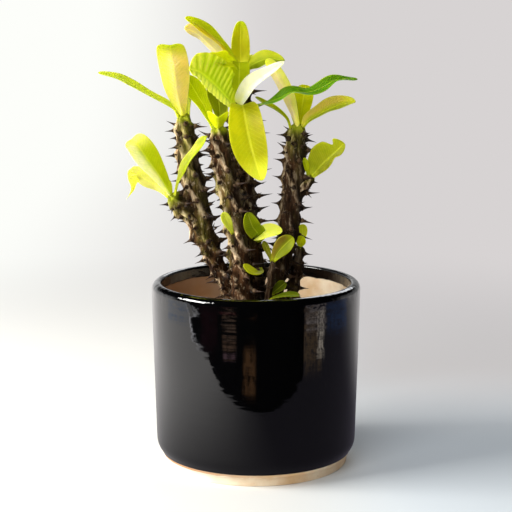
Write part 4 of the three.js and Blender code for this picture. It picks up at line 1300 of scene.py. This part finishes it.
# %% Where the leaves grow
LEAF = dict(
    width=12, fold=18, wave=(0.5, 2), swell=(1.2, 0.5), skew=0, bites=[], pleats=0,
    upper=LIME, under=LIME, tip=None, left=None, right=None, glow=1, slot="leaf_lime")
REAR = dict(under=OLIVE, slot="leaf_olive", face=[(0, -0.5, 1), (0, -0.3, 1)])
LEAVES = {
    "left_long": dict(
        width=9, swell=(0.5, 0.4), wave=(0.3, 2), upper="bcc83a", tip="c8d648",
        line=[(-50.6, -1, 232.6), (-53, -1.5, 237.9), (-58.5, -3, 242.4), (-71.4, -6, 249.4),
              (-82.3, -8, 255.9), (-89.6, -9.5, 259.9), (-102.4, -12, 263)],
        face=[(0.45, -0.4, 0.8), (0.3, -0.5, 0.85)]),
    "left_blush": dict(
        width=21, swell=(0.7, 0.26), fold=12, left="e2be60", upper=BRIGHT, under="ecca80", right="f8ec5c",
        tip="c4d018", slot="leaf_blush",
        line=[(-47.8, -3.2, 234), (-51.2, -6, 248.1), (-53.4, -8.5, 264.2), (-55.3, -10.5, 277),
              (-55.4, -15, 281.1)],
        face=[(0.1, 1, 0.1), (0, 0.5, 1)]),
    "left_shaded": dict(
        upper=OLIVE, under=OLIVE, slot="leaf_olive",
        line=[(-44.6, 2.4, 233.4), (-46, 7, 244.2), (-49.8, 11, 257.1), (-52.5, 13, 266.9)],
        face=[(-0.2, -1, 0.2), (-0.2, -1, 0.4)]),
    "left_rear": dict(REAR, line=[(-48.6, 3.8, 233), (-51, 16, 243), (-55, 29, 253)]),
    # low_drooping: its near-white left half is a painted highlight from the key lamp on the left.
    "low_drooping": dict(
        width=18, swell=(0.9, 0.3), left="fdfad0", tip=PALE,
        line=[(-56.2, -9.4, 182.6), (-62.6, -13, 195.1), (-70.8, -16, 207.3), (-76.8, -17, 216.5),
              (-81.3, -14, 220.2)],
        face=[(0.3, -0.8, 0.5), (0.1, -0.9, 0.4)]),
    "low_pale": dict(
        width=19, swell=(1.3, 2.4), fold=8, under=PALE, tip=YELLOW, slot="leaf_blush",
        line=[(-57.8, -7.4, 180.6), (-63.2, -5, 187.6), (-71.7, -7, 192.7), (-78.6, -9, 196.4),
              (-80.2, -11, 193.3), (-80.8, -12, 187.4), (-86.4, -12, 178.6)],
        face=[(0.3, 0.7, 0.6), (0.3, 0.7, 0.6), (0.3, 0.7, 0.6), (-0.7, 0.4, -0.3), (-1, 0.2, 0)]),
    "low_rear": dict(
        REAR,
        line=[(-55.8, -5.2, 181.4), (-61, 6, 187), (-69, 17, 189.6)],
        face=[(0.3, -0.6, 0.8), (0.2, -0.3, 1)]),
    "low_narrow": dict(
        width=9.5, fold=32, wave=(0.8, 2), upper="a2b010", under="98a41c", left="c6ce48",
        line=[(-53.4, -10.6, 182.4), (-50.8, -13, 192), (-45.6, -14.5, 202.4), (-38.6, -15.5, 212.6),
              (-31.8, -16, 222.3)],
        face=[(-0.7, -0.6, 0.3)] * 2),
    "middle_cup": dict(
        width=19, fold=42, swell=(0.8, 0.5), wave=(0, 1), upper="c6ce3c", under=BRIGHT,
        line=[(-25, -11, 226.4), (-24.8, -14, 231.4), (-24.4, -19, 235)],
        face=[(0, 0.6, 0.8), (0, 0.4, 0.9)]),
    # middle_shaded: its dark olive paints the shadow that tall_ribbed casts on it.
    "middle_shaded": dict(
        width=15, upper=SHADED_OLIVE, under=SHADED_OLIVE, slot="leaf_olive",
        line=[(-23.2, -5.6, 227.6), (-24, -2, 239.5), (-25.4, 1, 248.8), (-27.6, 3, 257)],
        face=[(0.1, -1, 0.2), (0.1, -1, 0.3)]),
    "middle_left": dict(
        width=14, under=OLIVE, tip=LIME, slot="leaf_olive",
        line=[(-28, -7.6, 226), (-33.4, -4, 239.6), (-39.5, 0, 249.3), (-46.1, 3, 260.2)],
        face=[(0.4, -0.9, 0.3), (0.3, -0.9, 0.3)]),
    "middle_rear": dict(REAR, line=[(-22.4, -4.6, 226.2), (-23.6, 9, 236.8), (-27, 21, 247.5)]),
    "tall_ribbed": dict(
        width=27, fold=20, swell=(0.6, 0.4), skew=0.22, pleats=13, wave=(0, 1), upper="b4cc12",
        left="e6f474", tip="ccdc3c",
        line=[(-13.6, 0.8, 239.4), (-18.8, -8, 246.7), (-27.9, -18, 257.2), (-36, -24, 264.2),
              (-42.6, -27, 266.4)],
        face=[(0.1, -0.8, 0.6), (-0.1, -0.8, 0.6)]),
    # tall_white: a pale leaf whose near-white tones and glowing finish paint the strong light on it.
    "tall_white": dict(
        width=11, fold=20, swell=(0.3, 0.6), right="fdf8d8", upper="f6f0c0", under=CREAM_HIGHLIGHT, tip="fbf6c0",
        slot="leaf_cream",
        line=[(-11, -0.8, 241.6), (-9, -7, 247.2), (-3.2, -12, 256), (7, -16, 263.4), (18.4, -20, 270.8)],
        face=[(-0.3, -0.9, 0.3), (-0.4, -0.8, 0.4)]),
    "tall_hanging": dict(
        width=25, fold=16, swell=(0.75, 0.6), left="969200", upper="a8a600", right="c8c604", tip=YELLOW,
        line=[(-8.4, -0.6, 237.6), (-8.8, -10, 242), (-7.6, -17, 238.2), (-5.2, -22, 225.8),
              (-0.9, -24, 209), (4, -23, 194.3)],
        face=[(0, -0.2, 1), (-0.5, -0.9, 0.1)]),
    "tall_wavy": dict(
        width=10.4, wave=(1.4, 2.6), swell=(0.6, 0.5), upper=GREEN, under=BLUE_GREEN, slot="leaf_green",
        line=[(-4.8, 1.8, 238.4), (3.9, -7, 242.4), (15.6, -14, 247), (23.5, -16, 251),
              (33.8, -17, 250.8), (42.9, -17, 254), (51.4, -16, 258.6), (65.8, -14, 259.2)],
        face=[(0.1, -0.4, 0.9), (-0.1, -0.6, 0.8)]),
    "tall_rear": dict(REAR, width=15, line=[(-12, 10.4, 241), (-19.5, 23, 249.8), (-30, 36, 257)]),
    "crown_narrow": dict(
        width=11.5, fold=10, swell=(0.9, 0.5), upper="a8ae04", under=OLIVE, left="c2a614", tip=BRIGHT,
        line=[(-12.6, 2, 267.6), (-19.7, -1, 278.4), (-29.3, -4, 287.6), (-38.1, -6, 294.4),
              (-45.9, -7, 298.4)],
        face=[(0.7, -0.5, 0.5), (0.6, -0.6, 0.6)]),
    "crown_blush": dict(
        width=14, under="c6b684", tip=TAN, slot="leaf_blush",
        line=[(-13, 5.4, 265.6), (-24.9, 6, 275.5), (-31.1, 6, 281.2), (-37.7, 5, 287.4), (-46.8, 4, 292)],
        face=[(0.5, 0.7, 0.5)] * 2),
    "crown_upright": dict(
        width=13, swell=(0.28, 0.42), upper="b0aa04", tip=LIME,
        line=[(-9.9, 7.2, 266.4), (-10.2, 9.5, 280.2), (-9.9, 11, 295.9)],
        face=[(0, -1, 0.1), (0, -1, 0.2)]),
    # crown_right: its darker right half is painted shade on the lower half of the leaf.
    "crown_right": dict(
        width=13.5, swell=(0.6, 0.8), left="b6ba20", upper="8c9c0c", under=OLIVE, right="7c8a0a",
        line=[(-6.8, 4.6, 264.4), (-0.6, 4, 268.4), (8, 1, 271.4), (19, -3, 270.6)],
        face=[(-0.3, -0.7, 0.6), (-0.1, -0.7, 0.6)]),
    "crown_rear": dict(
        REAR, width=13,
        line=[(-9.2, 7.8, 264.6), (-8, 20, 270.5), (-10, 33, 271.5)],
        face=[(0, -0.5, 1), (0.1, -0.1, 1)]),
    "crown_front": dict(
        width=13, swell=(0.5, 0.5), wave=(1.2, 2.5), upper=BRIGHT,
        line=[(-11.8, 0.6, 266.6), (-16, -6, 269.4), (-23.9, -12, 271.4), (-32.6, -15, 271.6)],
        face=[(0, -0.8, 0.6)] * 2),
    "crown_low": dict(
        width=14, fold=10, swell=(0.5, 0.5), wave=(0.6, 1), slot="leaf_olive",
        line=[(-10.6, 0.5, 265.2), (-10.8, -2.8, 269.4), (-10.8, -5.4, 265.6), (-11, -6, 258),
              (-11.6, -5.2, 250.6)],
        face=[(0, 0.8, 0.6), (0, -0.1, 1), (0, -0.8, 0.6), (0, -1, 0)]),
    "right_blush": dict(
        width=10, swell=(0.8, 0.4), under="f6d69c", left=PALE, tip=YELLOW, glow=3, slot="leaf_blush",
        line=[(28, -2.4, 226.6), (21.8, -4, 245.1), (15, -6, 259.5), (6.9, -8, 271.8)],
        face=[(0.2, 0.9, 0.3)] * 2),
    "right_back": dict(
        width=14, swell=(0.8, 0.4), upper="c0c204", slot="leaf_olive",
        line=[(28.6, 3.2, 227.2), (30.2, 7, 237.7), (33, 10, 254)],
        face=[(-0.1, -1, 0.2)] * 2),
    "right_reaching": dict(
        width=14.5, swell=(0.8, 0.5), fold=22, upper=BRIGHT, right="ccb04c", tip=YELLOW, slot="leaf_blush",
        line=[(30.4, -2, 226.4), (35.2, -4, 232.8), (42, -6, 236.8), (49.6, -8, 240.6), (56.6, -9, 243),
              (65, -10, 244.4)],
        face=[(-0.3, 0.75, 0.6), (-0.1, 0.7, 0.7)]),
    "right_thin": dict(
        width=6.5, wave=(0, 1), under=OLIVE,
        line=[(23, -0.8, 225.4), (20.2, 1, 232.4), (12.9, 2, 238.5), (5.8, 3, 242.2), (-0.5, 4, 246.4)],
        face=[(0.5, -0.5, 0.7), (0.3, -0.4, 0.9)]),
    "right_rear": dict(REAR, line=[(26.2, 4.4, 226), (27, 18, 236.4), (25, 31, 244)]),
    "side_broad": dict(
        width=17.5, swell=(0.5, 0.45), skew=-0.37, bites=[(0.8, -1, 0.5), (0.68, 1, 0.4)], wave=(1.2, 2),
        upper="989c14", right="8c8c1e", tip="a0a414", slot="leaf_olive",
        line=[(36.6, -4.2, 194.4), (43.4, -8, 202.9), (50.8, -12, 210.5), (57.7, -15, 217.7)],
        face=[(-0.2, -0.9, 0.4), (-0.1, -0.9, 0.4)]),
    "side_young": dict(
        width=4, wave=(0, 1), under=OLIVE,
        line=[(34.6, -3.6, 195), (33.4, -6.5, 201.6), (31.8, -8, 207.5)],
        face=[(-0.2, -0.9, 0.4)] * 2),
    "base_slim": dict(
        width=7, wave=(0, 1), upper="bcc63c",
        line=[(-15.2, -13.4, 157.4), (-18.2, -17, 165.5), (-21.4, -18, 173)],
        face=[(-0.2, -1, 0.1)] * 2),
    "base_round": dict(
        swell=(0.7, 0.5), wave=(0, 1), upper="7c8804", under=OLIVE, slot="leaf_olive",
        line=[(-0.4, 4.2, 151.6), (1.4, -7, 156.5), (-2.2, -13.4, 162.5), (-5.6, -17, 172.6)],
        face=[(-0.1, -1, 0.3), (-0.1, -1, 0.2)]),
    "base_bright": dict(
        swell=(0.6, 0.5), wave=(0, 1), upper="f2fc5c", glow=5,
        line=[(1.6, 5, 152), (4, -8, 156.6), (9.4, -11, 158.8), (17.4, -13, 159.4)],
        face=[(-0.4, -0.7, 0.6)] * 2),
    "base_crescent": dict(
        width=6.5, swell=(2.2, 0.6), wave=(0, 1), upper="b6b81c",
        line=[(3, 4.6, 131.5), (3.8, -8, 131.2), (1, -15.5, 132), (-3.6, -18.8, 133.8),
              (-8.3, -19.8, 138.4)],
        face=[(0, -0.4, 0.9), (0, -0.6, 0.8), (0.3, -0.8, 0.6)]),
    "base_olive": dict(
        swell=(0.9, 0.5), wave=(0.8, 1.4), upper="7e8806", left="8c7424", tip=OLIVE, slot="leaf_olive",
        line=[(11.6, -13, 138.8), (14, -14.5, 144.6), (18.5, -15, 150), (24.6, -15, 155.6)],
        face=[(-0.3, -1, 0.2)] * 2),
    "base_small": dict(
        width=4.4, wave=(0, 1), upper="84821c", under=OLIVE, slot="leaf_olive",
        line=[(10.6, -11.6, 138.6), (7.8, -9.6, 145.6), (4.8, -8, 152)],
        face=[(0, -1, 0.2)] * 2),
    "floor_flat": dict(
        width=7, wave=(0, 1), upper="5a6a0a", under=OLIVE,
        line=[(8.4, -13, 113.6), (19.3, -15, 116.4), (29.2, -15.5, 116.6)],
        face=[(0, -0.3, 1), (0, -0.4, 1)]),
    "floor_rising": dict(
        width=8, wave=(0, 1), upper="4e5a06", under=SHADED_OLIVE, slot="leaf_olive",
        line=[(9, -11, 115.4), (14, -9.4, 119.2), (20, -8.4, 124)],
        face=[(-0.4, -0.8, 0.5)] * 2),
    "shoot_back": dict(
        width=7.5, wave=(0, 1), upper="dce63a",
        line=[(29.8, 6.8, 145.4), (31, 8, 152), (31.7, 9.6, 160.5)],
        face=[(-0.2, -1, 0.1)] * 2),
    "shoot_front": dict(
        width=7.5, wave=(0, 1), upper=BRIGHT,
        line=[(29.2, 4.6, 145), (30, 1.6, 149.4), (31.4, -0.6, 154)],
        face=[(-0.2, -1, 0.2)] * 2),
}
LEAVES = {name: {**LEAF, **leaf} for name, leaf in LEAVES.items()}
print("leaves:", len(LEAVES))

# %% [markdown]
# A blade is a sheet with its own two coordinates: along runs from the stalk, 0, to the tip, 1, and
# across runs from one edge, -1, over the midrib to the other, 1. First comes the middle of the
# sheet: its width swells and closes along the line, the halves fold up from the midrib, and waves
# or pleats grow towards the edge.

# %% Middle of a blade
STALK_WIDTH = 2.4
BITE_LENGTH = 0.07
PLEAT_HEIGHT = 0.4
FOLD_SOFTNESS = 0.2
CALM_WIDTH = 4


def half_width(leaf, along):
    """Half the width along the blade: a thin stalk that passes into the body."""
    rise, close = leaf["swell"]
    widest = rise / (rise + close)
    body = (along / widest) ** rise * ((1 - along) / (1 - widest)) ** close
    return np.hypot(0.5 * STALK_WIDTH * (1 - along), 0.5 * leaf["width"] * body)


def edge_share(leaf, along, across):
    """Share of the half width left where an edge is bitten in, or where one half is the wider."""
    share = 1 + leaf["skew"] * across[None, :]
    for place, half_side, depth in leaf["bites"]:
        near = np.exp(-((along - place) / BITE_LENGTH) ** 2)[:, None]
        share = share * (1 - depth * near * np.clip(half_side * across, 0, 1)[None, :])
    return share


def blade_axes(leaf, along, heading):
    """Direction that the upper side turns to, square to the line, and the direction to the side."""
    hints = np.array(leaf["face"], float)
    places = along * (len(hints) - 1)
    face = np.stack([np.interp(places, range(len(hints)), hints[:, i]) for i in range(3)], axis=1)
    face -= heading * (face * heading).sum(1)[:, None]
    face /= np.linalg.norm(face, axis=1)[:, None]
    return face, np.cross(heading, face)


def ripples(leaf, along, across):
    """Height of the waves and pleats at each along and across; none over the midrib."""
    edge = np.abs(across)[None, :]
    height, count = leaf["wave"]
    turns = count * along[:, None] + np.where(across < 0, 0.3, 0)[None, :]
    ripple = height * edge ** 1.5 * np.sin(2 * np.pi * turns)
    if leaf["pleats"]:
        ripple = ripple + PLEAT_HEIGHT * edge * np.cos(2 * np.pi * leaf["pleats"] * along)[:, None]
    return ripple


def blade_middle(leaf, along, across):
    """Middle of the sheet at each along and across, as rows of points in millimetres."""
    shares = by_length(leaf["line"], along)
    face, side = blade_axes(leaf, along, headings(leaf["line"], shares))
    half = half_width(leaf, along)[:, None]
    fold = math.radians(leaf["fold"])
    reach = half * edge_share(leaf, along, across)
    crease = np.hypot(across, FOLD_SOFTNESS)[None, :] - FOLD_SOFTNESS
    crease = crease / (math.hypot(1, FOLD_SOFTNESS) - FOLD_SOFTNESS)
    lift = crease * reach * math.sin(fold)
    lift = lift + ripples(leaf, along, across) * np.minimum(1, half / CALM_WIDTH)
    out = across[None, :] * reach * math.cos(fold)
    middle = on_line(leaf["line"], shares)
    return middle[:, None] + out[..., None] * side[:, None] + lift[..., None] * face[:, None], half


LENGTHS = {name: float(line_lengths(leaf["line"])[-1]) for name, leaf in LEAVES.items()}
print("the longest leaf is", max(LENGTHS, key=LENGTHS.get), "with", round(max(LENGTHS.values())), "mm")

# %% [markdown]
# The two faces lie on both sides of the middle: thick at the stalk, thin at the edge, with a groove
# over the midrib above and a ridge below. The rows crowd towards the tip and the columns towards
# the edges, where the outline bends most. Both faces share the points of the edge, so each leaf is
# closed.

# %% Faces of a blade
CELL = 1.0
PLEAT_ROWS = 7
BODY_THICK = 0.62
STALK_THICK = 1.3
STALK_SHARE = 0.09
EDGE_WIDTH = 1.6
GROOVE_DEPTH = 0.20
GROOVE_WIDTH = 0.7
RIDGE_HEIGHT = 0.55
RIDGE_WIDTH = 0.8


def blade_faces(leaf):
    """Points of the two faces, and along and across of each."""
    length = line_lengths(leaf["line"])[-1]
    rows = max(16, int(length / CELL), PLEAT_ROWS * leaf["pleats"])
    cells = 2 * max(4, int(leaf["width"] / CELL / 2))
    along = 1 - (1 - np.linspace(0, 1, rows + 1)) ** 1.5
    across = np.sin(np.linspace(-1, 1, cells + 1) * math.pi / 2)
    middle, half = blade_middle(leaf, along, across)
    ahead = np.gradient(middle, axis=0)
    ahead[-1] = ahead[-2]
    sideways = np.gradient(middle, axis=1)
    sideways[-1] = sideways[-2]
    normal = np.cross(sideways, ahead)
    normal /= np.linalg.norm(normal, axis=2)[..., None] + 1e-12
    body = 0.5 * (BODY_THICK + STALK_THICK * np.exp(-(along / STALK_SHARE) ** 2))[:, None]
    rounded = np.sqrt(np.maximum(0, 1 - across ** 2))[None, :] ** 0.6
    close = np.minimum(1, half / EDGE_WIDTH) * (along > 0)[:, None]
    off_rib = np.abs(across)[None, :] * half
    rib = (1 - along)[:, None] ** 0.6 * np.minimum(1, half / 3)
    groove = GROOVE_DEPTH * np.exp(-(off_rib / GROOVE_WIDTH) ** 2) * rib
    ridge = RIDGE_HEIGHT * np.exp(-(off_rib / RIDGE_WIDTH) ** 2) * rib
    upper = middle + normal * ((body * rounded - groove) * close)[..., None]
    lower = middle - normal * ((body * rounded + ridge) * close)[..., None]
    return upper, lower, along, across


def sheet_faces(ids, turned):
    """Quads over a grid of points; a quad whose corners coincide becomes a triangle."""
    faces = []
    for i in range(ids.shape[0] - 1):
        for j in range(ids.shape[1] - 1):
            quad = [ids[i, j], ids[i, j + 1], ids[i + 1, j + 1], ids[i + 1, j]]
            quad = list(dict.fromkeys(int(q) for q in quad))
            faces.append(quad[::-1] if turned else quad)
    return faces


def blade_mesh(name, leaf):
    """Closed mesh of a leaf: the tip is one point, and both faces share the points of the edge."""
    upper, lower, along, across = blade_faces(leaf)
    rows, columns = len(along), len(across)
    ids = np.arange(rows * columns).reshape(rows, columns)
    ids[-1] = ids[-1, 0]
    below = ids + rows * columns
    below[:, [0, -1]] = ids[:, [0, -1]]
    below[[0, -1]] = ids[[0, -1]]
    faces = sheet_faces(ids, False) + sheet_faces(below, True)
    points = np.vstack([upper.reshape(-1, 3), lower.reshape(-1, 3)])
    used = np.unique(np.concatenate([np.array(face) for face in faces]))
    renumber = np.zeros(len(points), int)
    renumber[used] = np.arange(len(used))
    faces = [[int(renumber[q]) for q in face] for face in faces]
    mesh = bpy.data.meshes.new(name)
    mesh.from_pydata([tuple(p) for p in points[used] * MM], [], faces)
    mesh.shade_smooth()
    grid = np.meshgrid(along, across, indexing="ij")
    for label, values in zip(("along", "across"), grid):
        attribute(mesh, label, np.tile(values.ravel(), 2)[used])
    tints = np.concatenate([blade_tint(leaf, *grid, side).reshape(-1, 4) for side in (1, 0)])
    attribute(mesh, "tint", tints[used], "FLOAT_COLOR")
    attribute(mesh, "glow", np.full(len(used), leaf["glow"]))
    return mesh


print("rows on the longest leaf:", len(blade_faces(LEAVES[max(LENGTHS, key=LENGTHS.get)])[2]))

# %% [markdown]
# Each leaf carries its own colours in an attribute, tint, worked out from a few named tones: one
# for the upper face, one for the underside, and others for the left or right half and the tip.
# Mostly these are the plant's own colours, but on a few leaves a half is painted light or painted
# shade, and on a pleated leaf stripes of painted light and shade run across the pleats. The stalk
# is always yellower.

# %% Tint of a blade
RIB_SWEEP = 0.05
PLEAT_LIGHT_SHARE = 0.45
STALK_TINT_SHARE = 0.65
STALK_TINT_LENGTH = 0.14


def smooth_step(value, low, high):
    """0 below low, 1 above high and a smooth rise between them."""
    share = np.clip((value - low) / (high - low), 0, 1)
    return share * share * (3 - 2 * share)


def toward(colour, share, name):
    """Colours that move to a named tone by a share; no name leaves them as they are."""
    return colour if name is None else colour + (np.array(tone(name)) - colour) * share[..., None]


def blade_tint(leaf, along, across, side):
    """Colour of one face of a blade at each along and across."""
    start = np.array(tone(leaf["upper"] if side else leaf["under"]))
    colour = np.broadcast_to(start, along.shape + (4,))
    colour = toward(colour, smooth_step(-across, -0.05, 0.55), leaf["left"])
    colour = toward(colour, smooth_step(across, -0.05, 0.55), leaf["right"])
    colour = toward(colour, smooth_step(along, 0.72, 1.0), leaf["tip"])
    # Painted light and shade across the pleats: pale stripes on their lit side, shaded olive on the other.
    if leaf["pleats"]:
        ribs = np.cos(2 * np.pi * leaf["pleats"] * (along - RIB_SWEEP * np.abs(across)))
        outer = smooth_step(np.abs(across), 0.05, 0.3)
        colour = toward(colour, PLEAT_LIGHT_SHARE * smooth_step(ribs, 0.0, 1.0) * outer, PALE)
        colour = toward(colour, PLEAT_LIGHT_SHARE * smooth_step(-ribs, 0.5, 1.0) * outer, SHADED_OLIVE)
    return toward(colour, STALK_TINT_SHARE * np.exp(-(along / STALK_TINT_LENGTH) ** 2), YELLOW)


print("the first leaf's stalk:", blade_tint(LEAVES["left_long"], *np.zeros((2, 1)), 1)[0].round(3))

# %% [markdown]
# The finish adds what all leaves share: the pale midrib, the side veins and fine mottling, so that
# no picture is needed. Thin leaves shine where the light comes through them. Subsurface light gives
# most of that, and a little light of their own the rest; the attribute glow makes it stronger on
# the few leaves that shine most.

# %% Leaf finish and leaves
VEINS = 22
VEIN_SWEEP = 3.2


def leaf_finish(name, glow):
    """Satin waxy skin with a pale midrib, side veins and mottling over the leaf's own tint."""
    finish = Finish(name, {
        "Emission Strength": glow,
        "Subsurface Weight": 0.8, "Subsurface Radius": (0.95, 1.0, 0.15), "Subsurface Scale": 0.003,
        "Specular IOR Level": 0.12})
    place = finish.place()
    tint = finish.reading("tint", "Color")
    along = finish.reading("along")
    across = finish.reading("across").size()
    midrib = 1 - across.step(0.02, 0.11)
    fine = finish.noise(place, 1400, 3, 0.6)
    mottle = finish.noise(place, 190, 4, 0.65)
    ripe = finish.noise(place, 55, 3, 0.6)
    phase = along * VEINS - across * VEIN_SWEEP + mottle * 0.8
    veins = (phase * (2 * math.pi)).sine() * 0.5 + 0.5
    side_veins = veins.step(0.82, 1.0) * (1 - across.step(0.75, 0.98))
    colour = finish.mix(mottle.step(0.35, 0.7) * 0.65, tint, tint * (0.74, 0.84, 0.7))
    colour = finish.mix(ripe.step(0.5, 0.75) * 0.35, colour, tint * (1.12, 0.94, 0.9))
    pale = finish.mix(0.4, tint * (1.25, 1.25, 1.25), tone("ecee50"))
    colour = finish.mix(side_veins * 0.15, colour, pale)
    colour = finish.mix(midrib * 0.6, colour, pale)
    colour = finish.mix(across.step(0.88, 1.0) * 0.35, colour, pale)
    finish.paint({
        "Base Color": colour,
        "Roughness": 0.42 + fine * 0.12,
        "Emission Color": colour * finish.reading("glow"),
    })
    finish.bumps(side_veins * -0.00012 + mottle * 0.0002 + fine * 0.000008, 1.0)
    return finish.material


LEAF_GLOW = {"leaf_cream": 0.2, "leaf_lime": 0.05, "leaf_olive": 0.04, "leaf_green": 0.0, "leaf_blush": 0.06}
SPOTS_ALONG = np.linspace(0.04, 1, 24)
SPOTS_ACROSS = np.linspace(-0.95, 0.95, 9)
leaf_materials = {slot: leaf_finish(slot, glow) for slot, glow in LEAF_GLOW.items()}
blade_count = 0
leaf_points = []
for name, leaf in LEAVES.items():
    mesh = blade_mesh(name + "_blade", leaf)
    mesh.materials.append(leaf_materials[leaf["slot"]])
    blade = add_object(name + "_blade", mesh)
    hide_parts("leaf_" + name)
    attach(blade, "root")
    blade_count += len(mesh.polygons)
    spots, half = blade_middle(leaf, SPOTS_ALONG, SPOTS_ACROSS)
    leaf_points.append(spots.reshape(-1, 3))
leaf_points = np.vstack(leaf_points)
print("faces on the leaves:", blade_count)

# %% [markdown]
# Bark and thorns get their finishes last, because the thorns need to know where the leaves are: a
# thorn that would pierce a leaf is made shorter or left off. The bark is dark brown in the hollows
# and round each thorn's foot, and pale, dry and tan with small flakes on the ribs. It turns olive
# up the stem and lime at its tip. The stems stand so close that little light comes to their right
# side and to their feet; facing and gloom darken the bark there a little more than the lamps do.
# Thorns are dark brown with a paler foot and a nearly black tip.

# %% Bark and thorn finishes
HOLLOW_DARK = (0.012, 0.0050, 0.002, 1.0)
HOLLOW_BROWN = (0.115, 0.052, 0.020, 1.0)
CREST_BROWN = (0.380, 0.230, 0.110, 1.0)
CREST_TAN = (0.860, 0.680, 0.440, 1.0)
OLIVE_DARK = (0.055, 0.052, 0.006, 1.0)
OLIVE_PALE = (0.420, 0.370, 0.070, 1.0)
TIP_TONE = tone("a6b01c")


def bark_finish(name, tan_share):
    """Dry bark; tan_share says how much of the pale tan crust a stem of its age has."""
    finish = Finish(name, {"Specular IOR Level": 0.15})
    place = finish.place()
    relief = finish.reading("relief")
    age = finish.reading("age")
    rib = finish.reading("rib")
    streak = finish.noise(place * (1.0, 1.0, 0.2), 330, 4, 0.6)
    wide = finish.noise(place * (1.0, 1.0, 0.3), 120, 3, 0.55)
    patch_tone = finish.noise(place * (1.0, 1.0, 0.5), 45, 3, 0.6)
    grain = finish.noise(place * (1.0, 1.0, 0.6), 900, 3, 0.7)
    height = relief * 0.2 + rib * 0.5 + (wide - 0.5) * 3.0 + (streak - 0.5) * 1.8
    hollow = finish.mix(streak.step(0.35, 0.65), HOLLOW_DARK, HOLLOW_BROWN)
    crest = finish.mix((streak * 0.7 + grain * 0.3).step(0.42, 0.62), CREST_BROWN, CREST_TAN)
    bark = finish.mix(height.step(0.2, 0.75) * tan_share, hollow, crest)
    flakes = finish.noise(place * (1.0, 1.0, 0.4), 560, 3, 0.7).step(0.56, 0.68)
    olive = finish.mix((wide * 0.5 + streak * 0.5).step(0.38, 0.62), OLIVE_DARK, OLIVE_PALE)
    green = (age * 0.8 + (patch_tone - 0.5) * 3.0).step(0.35, 0.95)
    bark = finish.mix(green * 0.75, bark, olive)
    bark = finish.mix(flakes * 0.4 * tan_share, bark, CREST_TAN)
    away = (finish.reading("facing") + (wide - 0.5) * 1.6).step(0.12, 0.8)
    bark = finish.mix(away * 0.85, bark, HOLLOW_DARK)
    bark = finish.mix(relief.step(0.35, 0.9) * 0.6, bark, HOLLOW_DARK)
    tip = (finish.reading("tip") + (patch_tone - 0.5) * 0.6).step(0.25, 0.75)
    bark = finish.mix(tip * 0.85, bark, TIP_TONE)
    gloom = finish.reading("gloom").step(0.0, 0.7)
    finish.paint({
        "Base Color": finish.mix(gloom * 0.8, bark, HOLLOW_DARK),
        "Roughness": 0.6 + streak * 0.3,
    })
    finish.bumps(streak * 0.0014 + grain * 0.0006, 1.0)
    return finish.material


def thorn_finish():
    """Dark brown horn; rise runs from a thorn's foot to its tip, hue varies from thorn to thorn."""
    finish = Finish("thorn", {"Specular IOR Level": 0.25})
    rise = finish.reading("rise")
    hue = finish.reading("hue")
    grain = finish.noise(finish.place(), 900, 3, 0.6)
    foot = finish.mix(hue, (0.022, 0.011, 0.006, 1), (0.13, 0.078, 0.038, 1))
    body = finish.mix(hue, (0.010, 0.005, 0.004, 1), (0.050, 0.025, 0.014, 1))
    thorn = finish.mix((rise + (grain - 0.5) * 0.3).step(0.02, 0.3), foot, body)
    thorn = finish.mix(rise.step(0.5, 1.0), thorn, (0.007, 0.004, 0.003, 1))
    finish.paint({"Base Color": thorn, "Roughness": 0.40 + grain * 0.25})
    return finish.material


TAN_SHARES = {"bark": 0.9, "young_bark": 0.3}
bark_materials = {slot: bark_finish(slot, share) for slot, share in TAN_SHARES.items()}
thorn_material = thorn_finish()
for name in STEMS:
    slot = "young_bark" if name == "shoot_front" else "bark"
    tree = bark_tree(bark_materials[slot], thorn_material)
    settings = {"Bark": bark_materials[slot], "Thorn": thorn_material}
    stem = grown(name + "_bark", stem_source(name, leaf_points), tree, settings)
    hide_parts(name)
    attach(stem, "root")
    print(name, "faces:", len(stem.data.polygons))
